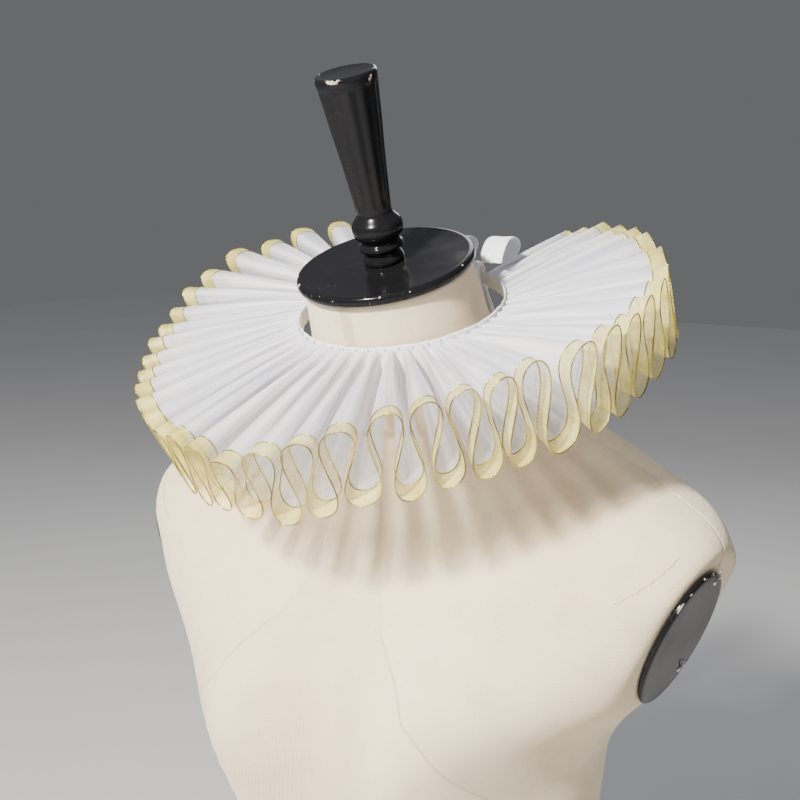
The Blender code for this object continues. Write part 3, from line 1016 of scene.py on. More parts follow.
@dataclass
class FoldedRuff:
    """The strip that is gathered at the neck and swings up and down in figure-eight folds."""

    outer_radius: float = 0.171
    neck_half_width: float = 0.0700
    neck_half_depth: float = 0.0621
    neck_offset: float = 0.0075
    neck_fold_height: float = -0.0365
    neck_fold_swing: float = 0.0016
    bulge: float = 0.27
    trough_inset: float = 0.0055
    trough_inset_turn: float = 0.0085
    trough_dip: float = 0.0040
    trough_dip_azimuth: float = 82.0
    trough_dip_spread: float = 14.0
    start_azimuth: float = -146.5
    end_azimuth: float = 163.5
    neck_end_azimuth: float = 149.0
    start_height: float = -70.0
    end_height: float = -47.0
    end_bulges: Pair = (0.8, 0.6)
    end_gap: float = 7.0
    widest_crest_gap: float = 9.0
    widest_trough_gap: float = 9.5
    ribbon_width: float = 0.0100
    seam_gap: float = 0.0003
    arch_height: float = 0.0012
    sag_waves: Table = (
        # size (m), turns to a stroke, shift
        (0.00030, 0.37, 0.4),
        (0.00025, 0.83, 1.9),
        (0.00015, 1.71, 0.8),
    )
    cover_run: Table = (
        # share of the way out, cover
        (0.0, 0.93),
        (0.12, 0.83),
        (0.45, 0.66),
        (1.0, 0.50),
    )
    thread_radius: float = 0.00040
    outer_thread: float = 0.998
    hem_radius: float = 0.0006
    hem_cover: float = 0.85
    hem_end: float = 0.985
    steps: int = 20
    frill_columns: int = 20
    ribbon_columns: int = 6

    def neckline(self, azimuth: np.ndarray, inset: float = 0.0) -> tuple[np.ndarray, ...]:
        """Ellipse of the neckline at an azimuth in degrees, moved inwards by inset.

        Args:
            azimuth: Azimuths in degrees.
            inset: Distance inwards.

        Returns:
            x and y in the neck's frame.
        """
        turn = np.radians(azimuth)
        x = (self.neck_half_width - inset) * np.sin(turn)
        return x, self.neck_offset - (self.neck_half_depth - inset) * np.cos(turn)

    def apexes(self) -> np.ndarray:
        """Turning points of the outer edge, end to end: azimuth, height, crest flag, bulge.

        Returns:
            One row for each turning point. A bulge is a share of the smaller gap beside it.
        """
        crest, trough = FOLDS[:, 0], FOLDS[:, 2]
        crest_before = np.diff(crest, prepend=self.start_azimuth)
        crest_after = np.diff(crest, append=self.end_azimuth)
        trough_before = np.diff(trough, prepend=self.start_azimuth)
        trough_after = np.diff(trough, append=trough[-1] + self.end_gap)
        crest_gap = np.minimum(np.minimum(crest_before, crest_after), self.widest_crest_gap)
        trough_gap = np.minimum(np.minimum(trough_before, trough_after), self.widest_trough_gap)
        crest_bulge, trough_bulge = self.bulge * crest_gap, self.bulge * trough_gap
        flag = np.ones(len(FOLDS))
        crests = np.stack([crest, FOLDS[:, 1], flag, crest_bulge], axis=-1)
        troughs = np.stack([trough, FOLDS[:, 3], 0.0 * flag, trough_bulge], axis=-1)
        folds = np.stack([crests, troughs], axis=1).reshape(-1, 4)
        first = [[self.start_azimuth, self.start_height, 0.0, self.end_bulges[0]]]
        last = [[self.end_azimuth, self.end_height, 1.0, self.end_bulges[1]]]
        return np.concatenate([first, folds, last])

    def edges(self) -> tuple[np.ndarray, ...]:
        """Neck edge and outer edge of the strip, in the neck's frame.

        Between two turning points the height eases from one to the other as half a cosine,
        and the azimuth goes evenly with a whole sine on top, which makes the loops round.

        Returns:
            Neck edge and outer edge as rows x 3, and each row's crest share.
        """
        table = self.apexes()
        strokes = len(table) - 1
        place = np.arange(strokes * self.steps + 1) / self.steps
        k = np.minimum(place.astype(int), strokes - 1)
        s = place - k
        ease = (1.0 - np.cos(np.pi * s)) / 2.0
        before, after = table[k], table[k + 1]
        bulge = before[:, 3] + (after[:, 3] - before[:, 3]) * s
        azimuth = before[:, 0] + (after[:, 0] - before[:, 0]) * s
        azimuth = azimuth + bulge * np.sin(2.0 * np.pi * s)
        height = (before[:, 1] + (after[:, 1] - before[:, 1]) * ease) * MILLIMETRE
        crest = before[:, 2] + (after[:, 2] - before[:, 2]) * ease
        turn = np.radians(azimuth)
        away = (azimuth - self.trough_dip_azimuth) / self.trough_dip_spread
        inset = self.trough_inset - self.trough_inset_turn * np.sin(turn)
        inset = inset + self.trough_dip * np.exp(-(away**2))
        radius = self.outer_radius - inset * (1.0 - crest)
        outer = np.stack([radius * np.sin(turn), -radius * np.cos(turn), height], axis=-1)
        span = self.neck_end_azimuth - self.start_azimuth
        x, y = self.neckline(self.start_azimuth + span * place / strokes)
        swing = self.neck_fold_swing * (2.0 * crest - 1.0)
        neck = np.stack([x, y, self.neck_fold_height + swing], axis=-1)
        return neck, outer, crest

    @property
    def length(self) -> float:
        """Radial length of the strip from the neckline to its outer edge."""
        return self.outer_radius - (self.neck_half_width + self.neck_half_depth) / 2.0

    def sheet(self, shares: np.ndarray) -> np.ndarray:
        """Straight lines from the neck edge to the outer edge, a little arched and uneven.

        Args:
            shares: Shares of the way out, 0 at the neck.

        Returns:
            Grid of rows x shares x 3, upright.
        """
        neck, outer, _ = self.edges()
        grid = neck[:, None, :] + (outer - neck)[:, None, :] * shares[None, :, None]
        arch = np.sin(np.pi * np.clip(shares, 0.0, 1.0) ** 0.8)
        grid[..., 2] += self.arch_height * arch
        place = np.arange(len(neck)) / self.steps
        sag = wander(place, *self.sag_waves)
        normals = grid_normals(grid)
        grid = grid + normals * (sag[:, None] * arch[None, :])[..., None]
        return NECK.upright(grid)

    def frill(self, shop: Workshop) -> bpy.types.Object:
        """The organza, a single layer from the neckline to the ribbon.

        Args:
            shop: Makes the piece.

        Returns:
            The piece.
        """
        end = 1.0 - (self.ribbon_width + self.seam_gap) / self.length
        shares = np.linspace(0.0, end, self.frill_columns + 1)
        grid = self.sheet(shares)
        run = np.array(self.cover_run)
        cover = np.broadcast_to(np.interp(shares, run[:, 0], run[:, 1]), grid.shape[:2])
        along = distances(grid[:, -1])
        shape = grid_shape(
            grid, along=along, across=shares * self.length, values={"cover": cover}
        )
        return shop.piece("organza_frill", shape, Finish.ORGANZA, ("ruff_frill",), closed=False)

    def ribbon(self, shop: Workshop) -> bpy.types.Object:
        """The cream ribbon on the outer edge.

        Args:
            shop: Makes the piece.

        Returns:
            The piece.
        """
        start = 1.0 - self.ribbon_width / self.length
        shares = np.linspace(start, 1.0, self.ribbon_columns + 1)
        grid = self.sheet(shares)
        shape = grid_shape(
            grid, along=distances(grid[:, -1]), across=(shares - start) * self.length
        )
        return shop.piece("edge_ribbon_strip", shape, Finish.RIBBON, ("edge_ribbon",), closed=False)

    def thread(self, shop: Workshop, name: str, share: float) -> bpy.types.Object:
        """Gold thread along the ribbon: a small ring carried along one line of the sheet.

        Args:
            shop: Makes the piece.
            name: Name of the piece.
            share: Share of the way out where the thread runs.

        Returns:
            The piece.
        """
        beside = 0.01
        grid = self.sheet(np.array([share - beside, share, share + beside]))
        normals = grid_normals(grid)[:, 1]
        radial = unit(grid[:, 2] - grid[:, 0])
        tube = carried(grid[:, 1], radial, normals, ring_profile(self.thread_radius, 6))
        return shop.piece(name, grid_shape(tube, closed=True, capped=True), Finish.GOLD)

    def end_hems(self, shop: Workshop) -> bpy.types.Object:
        """Narrow rolled hems down the strip's two cut ends.

        Args:
            shop: Makes the piece.

        Returns:
            The piece.
        """
        grid = self.sheet(np.linspace(0.0, self.hem_end, 40))
        shapes = []
        for row, inner in ((0, 1), (-1, -2)):
            path = grid[row]
            inward = unit(grid[inner] - path)
            out = unit(np.cross(np.gradient(path, axis=0), inward))
            tube = carried(path, inward, out, ring_profile(self.hem_radius, 8))
            shape = grid_shape(tube, closed=True, capped=True)
            shape.values["cover"] = np.full(len(shape.points), self.hem_cover)
            shapes.append(shape)
        return shop.piece("organza_end_hems", joined(shapes), Finish.ORGANZA)

    def build(self, shop: Workshop) -> None:
        """The lines of the strip close in from the outer edge to the neck, so its area is its
        width times the mean of the two edges.

        Args:
            shop: Makes the pieces.
        """
        frill = self.frill(shop)
        hems = self.end_hems(shop)
        ribbon = self.ribbon(shop)
        start = 1.0 - self.ribbon_width / self.length
        inner = self.thread(shop, "gold_thread_inner", start)
        outer = self.thread(shop, "gold_thread_outer", self.outer_thread)
        neck, edge, _ = self.edges()
        width = self.length - self.ribbon_width
        outer_length = float(distances(edge)[-1])
        spread_area = width * (outer_length + float(distances(neck)[-1])) / 2.0
        log.info("strip: %.3f m by %.2f m, %.3f m2 spread", width, outer_length, spread_area)


@dataclass
class NeckTape:
    """The band that the pleats are sewn to, with its gathers and the stitches on it."""

    ruff: FoldedRuff
    wall: float = 0.0012
    top: float = -0.0332
    bottom: float = -0.0437
    pleats: int = len(FOLDS)
    steps: int = 12
    thinness: float = 0.8
    pucker: float = 0.00018
    stitch_lift: float = 0.00005
    stitch_drop: float = 0.0017
    stitch_half: float = 0.0012
    stitch_radius: float = 0.00023

    def build(self, shop: Workshop) -> bpy.types.Object:
        """A thin strip profile carried round the neckline, puckered once for each pleat.

        Args:
            shop: Makes the pieces.

        Returns:
            The band.
        """
        ruff = self.ruff
        count = self.pleats * self.steps + 1
        azimuth = np.linspace(ruff.start_azimuth, ruff.neck_end_azimuth, count)
        turns = np.linspace(0.0, self.pleats, count)
        inset = ruff.seam_gap + self.wall / 2.0
        x, y = ruff.neckline(azimuth, inset)
        middle = np.full_like(x, (self.top + self.bottom) / 2.0)
        middle = middle + wander(turns, (0.00022, 0.23, 0.3), (0.00015, 0.61, 1.1))
        path = np.stack([x, y, middle], axis=-1)
        up = np.broadcast_to(np.array([0.0, 0.0, 1.0]), path.shape)
        out = unit(np.cross(np.gradient(path, axis=0), up))
        path = path - out * self.pucker * (1.0 - np.cos(2.0 * np.pi * turns))[:, None]
        profile = strip_profile(self.top - self.bottom, self.wall * self.thinness)
        tube = NECK.upright(carried(path, up, out, profile))
        shape = grid_shape(tube, closed=True, capped=True)
        band = shop.piece("neck_tape", shape, Finish.TAPE, ("neckband",))
        self.stitches(shop)
        flat_length = float(distances(path)[-1])
        return band

    def stitches(self, shop: Workshop) -> bpy.types.Object:
        """Small upright ticks of thread on the tape, one in the notch below each fold.

        Args:
            shop: Makes the piece.

        Returns:
            The piece.
        """
        ruff = self.ruff
        count = np.arange(1.0, self.pleats + 1.0)
        span = ruff.neck_end_azimuth - ruff.start_azimuth
        azimuth = ruff.start_azimuth + span * 2.0 * count / (2.0 * self.pleats + 1.0)
        azimuth = azimuth + wander(count, (0.5, 0.37, 0.0), (0.4, 0.13, 1.0))
        x, y = ruff.neckline(azimuth, ruff.seam_gap + self.stitch_lift)
        uneven = wander(count, (0.00025, 0.31, 0.2), (0.0002, 0.143, 2.0))
        height = self.top - self.stitch_drop + uneven
        middles = np.stack([x, y, height], axis=-1)
        out = np.stack([x, y - ruff.neck_offset, 0.0 * x], axis=-1)
        lean = wander(count, (0.12, 0.27, 0.0), (0.08, 0.61, 1.0))
        side = np.stack([-out[:, 1], out[:, 0], 0.0 * x], axis=-1)
        along = unit(unit(side) * lean[:, None] + np.array([0.0, 0.0, 1.0]))
        origin = NECK.upright(np.zeros(3))
        shape = stitch_shape(
            NECK.upright(middles), unit(NECK.upright(along) - origin),
            unit(NECK.upright(unit(out)) - origin), self.stitch_half, self.stitch_radius,
        )
        return shop.piece("neck_tape_stitches", shape, Finish.STITCH)


@dataclass
class SatinBow:
    """The ribbon ties, and the bow that they make behind the neck."""

    ruff: FoldedRuff
    strip_points: int = 13
    tie_width: float = 0.0160
    tie_shown: float = 0.066
    tie_gather: float = 0.012
    tie_pleat: float = 0.0006
    tie_narrowing: float = 0.12
    tail_width: float = 0.0142
    inset: float = 0.0009
    wall: float = 0.0006
    band_middle: float = -0.0365
    knot_azimuth: float = 159.5
    knot_half: Triple = (0.0070, 0.0058, 0.0078)
    knot_squareness: float = 0.6
    knot_fold: float = 0.030
    knot_ends: Table = (
        # level, size
        (-1.0, 0.52),
        (-0.9, 0.74),
        (-0.72, 0.90),
        (-0.3, 0.99),
        (0.3, 0.99),
        (0.72, 0.90),
        (0.9, 0.74),
        (1.0, 0.52),
    )
    loop_width: float = 0.0170
    loop_pinch_share: float = 0.10
    loop_narrowing: float = 0.10
    loop_pleat: float = 0.0003
    loop_ripple: float = 0.00012
    loop_left_x: float = 0.0398
    loop_right_x: float = 0.0082
    loop_path: Table = (
        # back, height (mm, in the neck's frame)
        (62.0, -27.6),
        (64.6, -22.6),
        (70.4, -18.6),
        (77.5, -17.0),
        (84.4, -18.6),
        (89.2, -22.8),
        (89.6, -27.2),
        (84.8, -30.2),
        (77.0, -31.2),
        (70.2, -31.0),
    )
    tail_path: Table = (
        # back, height, half_width (mm, upright)
        (40.2, 680.8, 4.0),
        (44.6, 671.0, 4.6),
        (53.5, 655.0, 5.4),
        (64.0, 637.0, 6.6),
        (75.5, 617.0, 7.6),
        (87.5, 596.0, 8.0),
        (99.5, 573.0, 8.0),
        (110.5, 550.0, 8.0),
    )
    tail_pleat: float = 0.0007
    tail_pleat_share: float = 0.14
    tail_wave: float = 0.0005
    tail_slant: float = -0.008
    tail_slant_from: float = 0.86
    tail_left_x: Pair = (0.0283, 0.0350)
    tail_right_x: Pair = (0.0197, 0.0090)

    def strip(self, width: float, rows: int) -> np.ndarray:
        """The ribbon's cross-section, once for each row, so that it may change along the way."""
        return np.tile(strip_profile(width, self.wall, self.strip_points), (rows, 1, 1))

    def ties(self, shop: Workshop) -> bpy.types.Object:
        """Both ties from the band's ends to the knot, gathered where they enter it.

        Args:
            shop: Makes the piece.

        Returns:
            The piece.
        """
        ruff = self.ruff
        mean_radius = (ruff.neck_half_width + ruff.neck_half_depth) / 2.0
        seam = math.degrees(ruff.seam_gap / mean_radius)
        reach = math.degrees((self.knot_half[0] + ruff.seam_gap) / mean_radius)
        spans = (
            (ruff.neck_end_azimuth + seam, self.knot_azimuth - reach, 24),
            (ruff.start_azimuth + 360.0 - seam, self.knot_azimuth + reach, 60),
        )
        shapes = []
        for start, end, steps in spans:
            azimuth = np.linspace(start, end, steps + 1)
            x, y = ruff.neckline(azimuth, self.inset)
            path = np.stack([x, y, np.full_like(x, self.band_middle)], axis=-1)
            up = np.broadcast_to(np.array([0.0, 0.0, 1.0]), path.shape)
            out = unit(np.stack([x, y - ruff.neck_offset, 0.0 * x], axis=-1))
            near_knot = np.clip(1.0 - distances(path)[::-1] / self.tie_gather, 0.0, 1.0)
            profile = self.strip(self.tie_width, len(path))
            pleat = np.sin(profile[..., 0] / self.tie_width * 6.0 * np.pi)
            profile[..., 1] += self.tie_pleat * near_knot[:, None] * pleat
            profile[..., 0] *= (1.0 - self.tie_narrowing * near_knot)[:, None]
            tube = NECK.upright(carried(path, up, out, profile))
            shapes.append(grid_shape(tube, closed=True, capped=True))
        made = shop.piece("satin_ties", joined(shapes), Finish.SATIN, ("tie_left", "tie_right"))
        return made

    def knot(self, shop: Workshop) -> bpy.types.Object:
        """Rounded block with soft corners, wrapped round by shallow pleats of ribbon.

        The rings are superellipses whose size falls towards both ends.

        Args:
            shop: Makes the piece.

        Returns:
            The piece.
        """
        x0, y0 = self.ruff.neckline(np.array(self.knot_azimuth), self.inset)
        turn = 2.0 * np.pi * np.arange(64) / 64
        level = np.linspace(-1.0, 1.0, 33)
        ends = np.array(self.knot_ends)
        scale = np.interp(level, ends[:, 0], ends[:, 1])
        c, s = np.cos(turn), np.sin(turn)
        across = np.sign(c) * np.abs(c) ** self.knot_squareness * self.knot_half[0]
        back = np.sign(s) * np.abs(s) ** self.knot_squareness * self.knot_half[1]
        fold = 1.0 + self.knot_fold * np.sin(level[:, None] * 11.0 + 1.1 * s[None, :])
        rise = self.band_middle + np.broadcast_to(level[:, None] * self.knot_half[2], fold.shape)
        grid = np.stack(
            [x0 + across * scale[:, None] * fold, y0 + back * scale[:, None] * fold, rise], axis=-1
        )
        shape = grid_shape(NECK.upright(grid), closed=True, capped=True)
        return shop.piece("satin_knot", shape, Finish.SATIN, ("bow_knot",))

    def loop(self, shop: Workshop, side: Side, centre_x: float) -> bpy.types.Object:
        """Loop of ribbon along the smoothed loop path, rippled across and pinched at its ends.

        Args:
            shop: Makes the piece.
            side: Side of the bow.
            centre_x: Middle of the loop across the form.

        Returns:
            The piece.
        """
        path = smooth_rows(np.array(self.loop_path) * MILLIMETRE, 8)
        count = len(path)
        share = np.linspace(0.0, 1.0, count)
        middle = np.stack([np.full(count, centre_x), path[:, 0], path[:, 1]], axis=-1)
        across = np.broadcast_to(np.array([1.0, 0.0, 0.0]), middle.shape)
        out = unit(np.cross(across, np.gradient(middle, axis=0)))
        pinch = np.exp(-share / self.loop_pinch_share)
        pinch = pinch + pinch[::-1]
        profile = self.strip(self.loop_width, count)
        x = profile[..., 0] / self.loop_width
        ripple = self.loop_ripple * np.sin(2.0 * np.pi * (x * 1.3 + share[:, None] * 1.7))
        profile[..., 1] += ripple + self.loop_pleat * pinch[:, None] * np.sin(5.0 * np.pi * x)
        profile[..., 0] *= (1.0 - self.loop_narrowing * pinch)[:, None]
        shape = grid_shape(
            NECK.upright(carried(middle, across, out, profile)), closed=True, capped=True
        )
        names = f"satin_loop_{side.word}", f"bow_loop_{side.word}"
        made = shop.piece(names[0], shape, Finish.SATIN, names[1:])
        float(distances(middle)[-1])
        return made

    def tail(
        self, shop: Workshop, side: Side, ends_x: Pair
    ) -> bpy.types.Object:
        """Hanging end of the ribbon, gently rippled and cut on the slant.

        Args:
            shop: Makes the piece.
            side: Side of the bow.
            ends_x: Middle of the tail across the form at its top and its foot.

        Returns:
            The piece.
        """
        rows = smooth_rows(np.array(self.tail_path) * MILLIMETRE, 10)
        count = len(rows)
        share = np.linspace(0.0, 1.0, count)
        centre = ends_x[0] + (ends_x[1] - ends_x[0]) * share**1.3
        middle = np.stack([centre, rows[:, 0], rows[:, 1]], axis=-1)
        across = np.broadcast_to(np.array([1.0, 0.0, 0.0]), middle.shape)
        out = unit(np.cross(across, np.gradient(middle, axis=0)))
        profile = self.strip(1.0, count)
        x = profile[..., 0].copy()
        profile[..., 0] = 2.0 * x * rows[:, 2:3]
        near_knot = np.exp(-share / self.tail_pleat_share)[:, None]
        wave = np.sin(2.0 * np.pi * (1.1 * x + 2.3 * share[:, None]))
        profile[..., 1] += self.tail_pleat * near_knot * np.sin(5.0 * np.pi * x)
        profile[..., 1] += self.tail_wave * wave
        grid = carried(middle, across, out, profile)
        near_foot = np.clip((share - self.tail_slant_from) / (1.0 - self.tail_slant_from), 0.0, 1.0)
        grid[..., 2] += near_foot[:, None] * x * self.tail_slant
        shape = grid_shape(grid, closed=True, capped=True)
        names = f"satin_tail_{side.word}", f"bow_tail_{side.word}"
        made = shop.piece(names[0], shape, Finish.SATIN, names[1:])
        float(distances(middle)[-1])
        return made

    def build(self, shop: Workshop) -> None:
        """Builds the ties, the knot, both loops and both tails.

        Args:
            shop: Makes the pieces.
        """
        self.knot(shop)
        self.ties(shop)
        self.loop(shop, Side.LEFT, self.loop_left_x)
        self.loop(shop, Side.RIGHT, self.loop_right_x)
        self.tail(shop, Side.LEFT, self.tail_left_x)
        self.tail(shop, Side.RIGHT, self.tail_right_x)


# Dress form


@dataclass
class Torso:
    """The linen-covered form, with its seams and the flats where the arm plates lie."""

    bust_azimuth: float = 34.0
    bust_spread: float = 25.0
    slant: float = math.radians(22.0)
    turn: float = math.radians(10.0)
    arm_centre: Triple = (0.1880, -0.012, 0.4840)
    plane_from: float = 0.375
    plane_to: float = 0.585
    plane_fade: float = 0.02
    plane_edge: float = 0.0045
    plane_reach: float = 0.08
    columns: int = 160
    steps: int = 7
    seam_depth: float = 0.0006
    seam_roll: float = 0.00025
    seam_half: float = 0.17
    roll_half: float = 0.75
    seam_clear: float = 1.7
    seam_fade: float = 1.2
    mean_radius: float = 0.14
    front_seam: float = 23.0
    front_seam_top: float = 13.4
    front_seam_run: Table = (
        # section, angle
        (0.0, 66.0),
        (6.0, 67.0),
        (8.1, 62.0),
        (9.5, 40.0),
        (11.0, 19.0),
        (12.6, 7.0),
        (14.0, 4.0),
    )
    stitch_count: int = 26
    stitch_sections: Pair = (14.0, 15.4)
    stitch_degrees: Pair = (47.0, 67.0)
    stitch_ahead: Pair = (0.02, 0.3)
    stitch_aside: float = 0.6
    stitch_half: float = 0.0009
    stitch_radius: float = 0.00018
    seam_angles: tuple[float, ...] = (23.0, 92.0, 158.0, 180.0, 202.0, 268.0, 337.0)
    seam_offsets: tuple[float, ...] = (-1.3, -0.42, -0.16, 0.0, 0.16, 0.42, 1.3)

    def angles(self) -> np.ndarray:
        """Angles of the columns: even ones, and a few close together at each seam.

        Returns:
            Rising angles in degrees from the front towards the wearer's left.
        """
        even = np.arange(self.columns) * 360.0 / self.columns
        seams = np.array(self.seam_angles)
        gap = np.abs((even[:, None] - seams[None, :] + 180.0) % 360.0 - 180.0).min(axis=1)
        close = (seams[:, None] + np.array(self.seam_offsets)[None, :]).ravel() % 360.0
        return np.sort(np.concatenate([even[gap > self.seam_clear], close]))

    def turned_angles(self, place: np.ndarray, degrees: np.ndarray) -> np.ndarray:
        """Column angles in each row, drawn aside so that two columns follow the front seams.

        Args:
            place: Places counted in sections.
            degrees: Angles of the columns.

        Returns:
            Grid of angles in radians.
        """
        run = np.array(self.front_seam_run)
        shift = np.interp(place, run[:, 0], run[:, 1]) - self.front_seam
        sides = self.seam_angles[1], self.seam_angles[-2]
        ends = [0.0, self.front_seam, *sides, 360.0 - self.front_seam, 360.0]
        share = np.interp(degrees, ends, [0.0, 1.0, 0.0, 0.0, -1.0, 0.0])
        return np.radians(degrees[None, :] + shift[:, None] * share[None, :])

    def sections(self, angle: np.ndarray) -> np.ndarray:
        """Points of every section at the given angles, before the arm flats are cut.

        Each torso section is a superellipse with its own front and back depth, and the bust
        is a bell of the azimuth added to the front. Each neck section is two half ellipses.

        Args:
            angle: Angles in radians.

        Returns:
            Grid of sections x angles x 3.
        """
        shift, height, tilt, width, front, back, bust, power = TORSO_SECTIONS.T[:, :, None]
        s, c = np.sin(angle)[None, :], np.cos(angle)[None, :]
        x = np.sign(s) * np.abs(s) ** (2.0 / power) * width
        y = -np.sign(c) * np.abs(c) ** (2.0 / power) * np.where(c > 0, front, back)
        azimuth = np.degrees(np.arctan2(x, -y))
        bell = np.exp(-(((np.abs(azimuth) - self.bust_azimuth) / self.bust_spread) ** 2))
        y = y - np.where(c > 0, bust * bell, 0.0)
        lean = np.radians(tilt)
        torso = np.stack([x, shift + y * np.cos(lean), height + y * np.sin(lean)], axis=-1)
        rise, width, front, back = NECK_SECTIONS.T[:, :, None]
        neck = np.stack([width * s, -np.where(c > 0, front, back) * c, rise + 0.0 * s], axis=-1)
        return np.concatenate([torso * MILLIMETRE, NECK.upright(neck * MILLIMETRE)])

    def surface(self, place: np.ndarray, angle: np.ndarray) -> np.ndarray:
        """Points of the form: a cubic through the sections, cut at the two arm planes.

        Args:
            place: Places counted in sections from the lowest.
            angle: One angle in radians for each place.

        Returns:
            Points x 3.
        """
        rows = self.sections(angle)
        gap = np.minimum(place.astype(int), len(rows) - 2)
        padded, each = with_ends(rows), np.arange(len(place))
        points = cubic([padded[gap + k, each] for k in range(4)], (place - gap)[:, None])
        return self.cut(points)

    def cut(self, points: np.ndarray) -> np.ndarray:
        """Holds the points inside the arm planes, with the edge of each flat rounded over.

        The limit is a soft minimum: half of sum less the root of squared difference and width.

        Args:
            points: Points x 3.

        Returns:
            The points after the cut.
        """
        x, y, z = points.T
        limit = (
            self.arm_centre[0]
            + (z - self.arm_centre[2]) * math.tan(self.slant)
            + (y - self.arm_centre[1]) * math.tan(self.turn)
        )
        reach = np.abs(x)
        root = np.sqrt((reach - limit) ** 2 + self.plane_edge**2)
        soft = 0.5 * (reach + limit - root)
        soft = np.where(reach > self.plane_reach, soft, reach)
        blend = np.clip((z - self.plane_from) / self.plane_fade, 0.0, 1.0)
        blend = blend * np.clip((self.plane_to - z) / self.plane_fade, 0.0, 1.0)
        kept = np.minimum(reach + (soft - reach) * blend, reach)
        return np.stack([np.sign(x) * kept, y, z], axis=-1)

    def body(self, shop: Workshop) -> bpy.types.Object:
        """The whole covered form, with a groove pressed in along each seam.

        Groove and roll are bells of the angle from the seam, the roll the wider one.

        Args:
            shop: Makes the piece.

        Returns:
            The piece.
        """
        degrees = self.angles()
        rows = (len(TORSO_SECTIONS) + len(NECK_SECTIONS) - 1) * self.steps + 1
        place = np.arange(rows) / self.steps
        place_grid = np.repeat(place[:, None], len(degrees), axis=1)
        points = self.surface(place_grid.ravel(), self.turned_angles(place, degrees).ravel())
        grid = points.reshape(rows, len(degrees), 3)
        seams = np.array(self.seam_angles)
        away = np.abs((degrees[:, None] - seams[None, :] + 180.0) % 360.0 - 180.0).min(axis=1)
        near = 5.0
        front = np.abs(np.abs(degrees - 180.0) - 180.0 + self.front_seam) < near
        top = np.where(front, self.front_seam_top, len(TORSO_SECTIONS) - 1.0)
        fade = np.clip((top[None, :] - place[:, None]) / self.seam_fade, 0.0, 1.0)
        seam = np.exp(-((away / self.seam_half) ** 2))[None, :] * fade
        outward = grid_normals(grid, closed=True)
        outward[-1], outward[0] = outward[-2], outward[1]
        middle = grid.mean(axis=1, keepdims=True)
        facing = np.sign(((grid - middle) * outward).sum(axis=-1, keepdims=True))
        roll = np.exp(-((away / self.roll_half) ** 2))[None, :] * fade
        press = self.seam_depth * seam - self.seam_roll * (roll - seam)
        grid = grid - outward * facing * press[..., None]
        whole_turn = np.concatenate([degrees, [degrees[0] + 360.0]])
        girth = self.mean_radius * np.radians(whole_turn)
        shape = grid_shape(
            grid, closed=True, capped=True, along=distances(grid[:, 0]), across=girth,
            values={"seam": seam},
        )
        return shop.piece("linen_form", shape, Finish.LINEN, ("form_torso",))

    def seam_stitches(self, shop: Workshop) -> bpy.types.Object:
        """Ticks of thread beside the arm flats, where the cover is sewn to its edge.

        A stitch points to a place a little further along its row, and off the form by the
        cross product with a place a little beside it.

        Args:
            shop: Makes the piece.

        Returns:
            The piece.
        """
        share = np.linspace(0.0, 1.0, self.stitch_count)
        place = np.linspace(*self.stitch_sections, self.stitch_count)
        degrees = np.linspace(*self.stitch_degrees, self.stitch_count)
        degrees = degrees + wander(share, (0.25, 5.0, 0.3))
        inside = np.array([0.0, 0.0, 0.42])
        middles, outs, alongs = [], [], []
        for side in Side:
            here, ahead, beside = (
                self.surface(place + up, np.radians(side.value * (degrees + aside)) % (2.0 * np.pi))
                for up, aside in ((0.0, 0.0), self.stitch_ahead, (0.0, self.stitch_aside))
            )
            along = unit(ahead - here)
            out = unit(np.cross(along, beside - here))
            out = out * np.sign((out * (here - inside)).sum(-1))[:, None]
            middles.append(here)
            outs.append(out)
            alongs.append(along)
        shape = stitch_shape(
            np.concatenate(middles), np.concatenate(alongs), np.concatenate(outs),
            self.stitch_half, self.stitch_radius,
        )
        return shop.piece("arm_edge_stitches", shape, Finish.LINEN_THREAD)


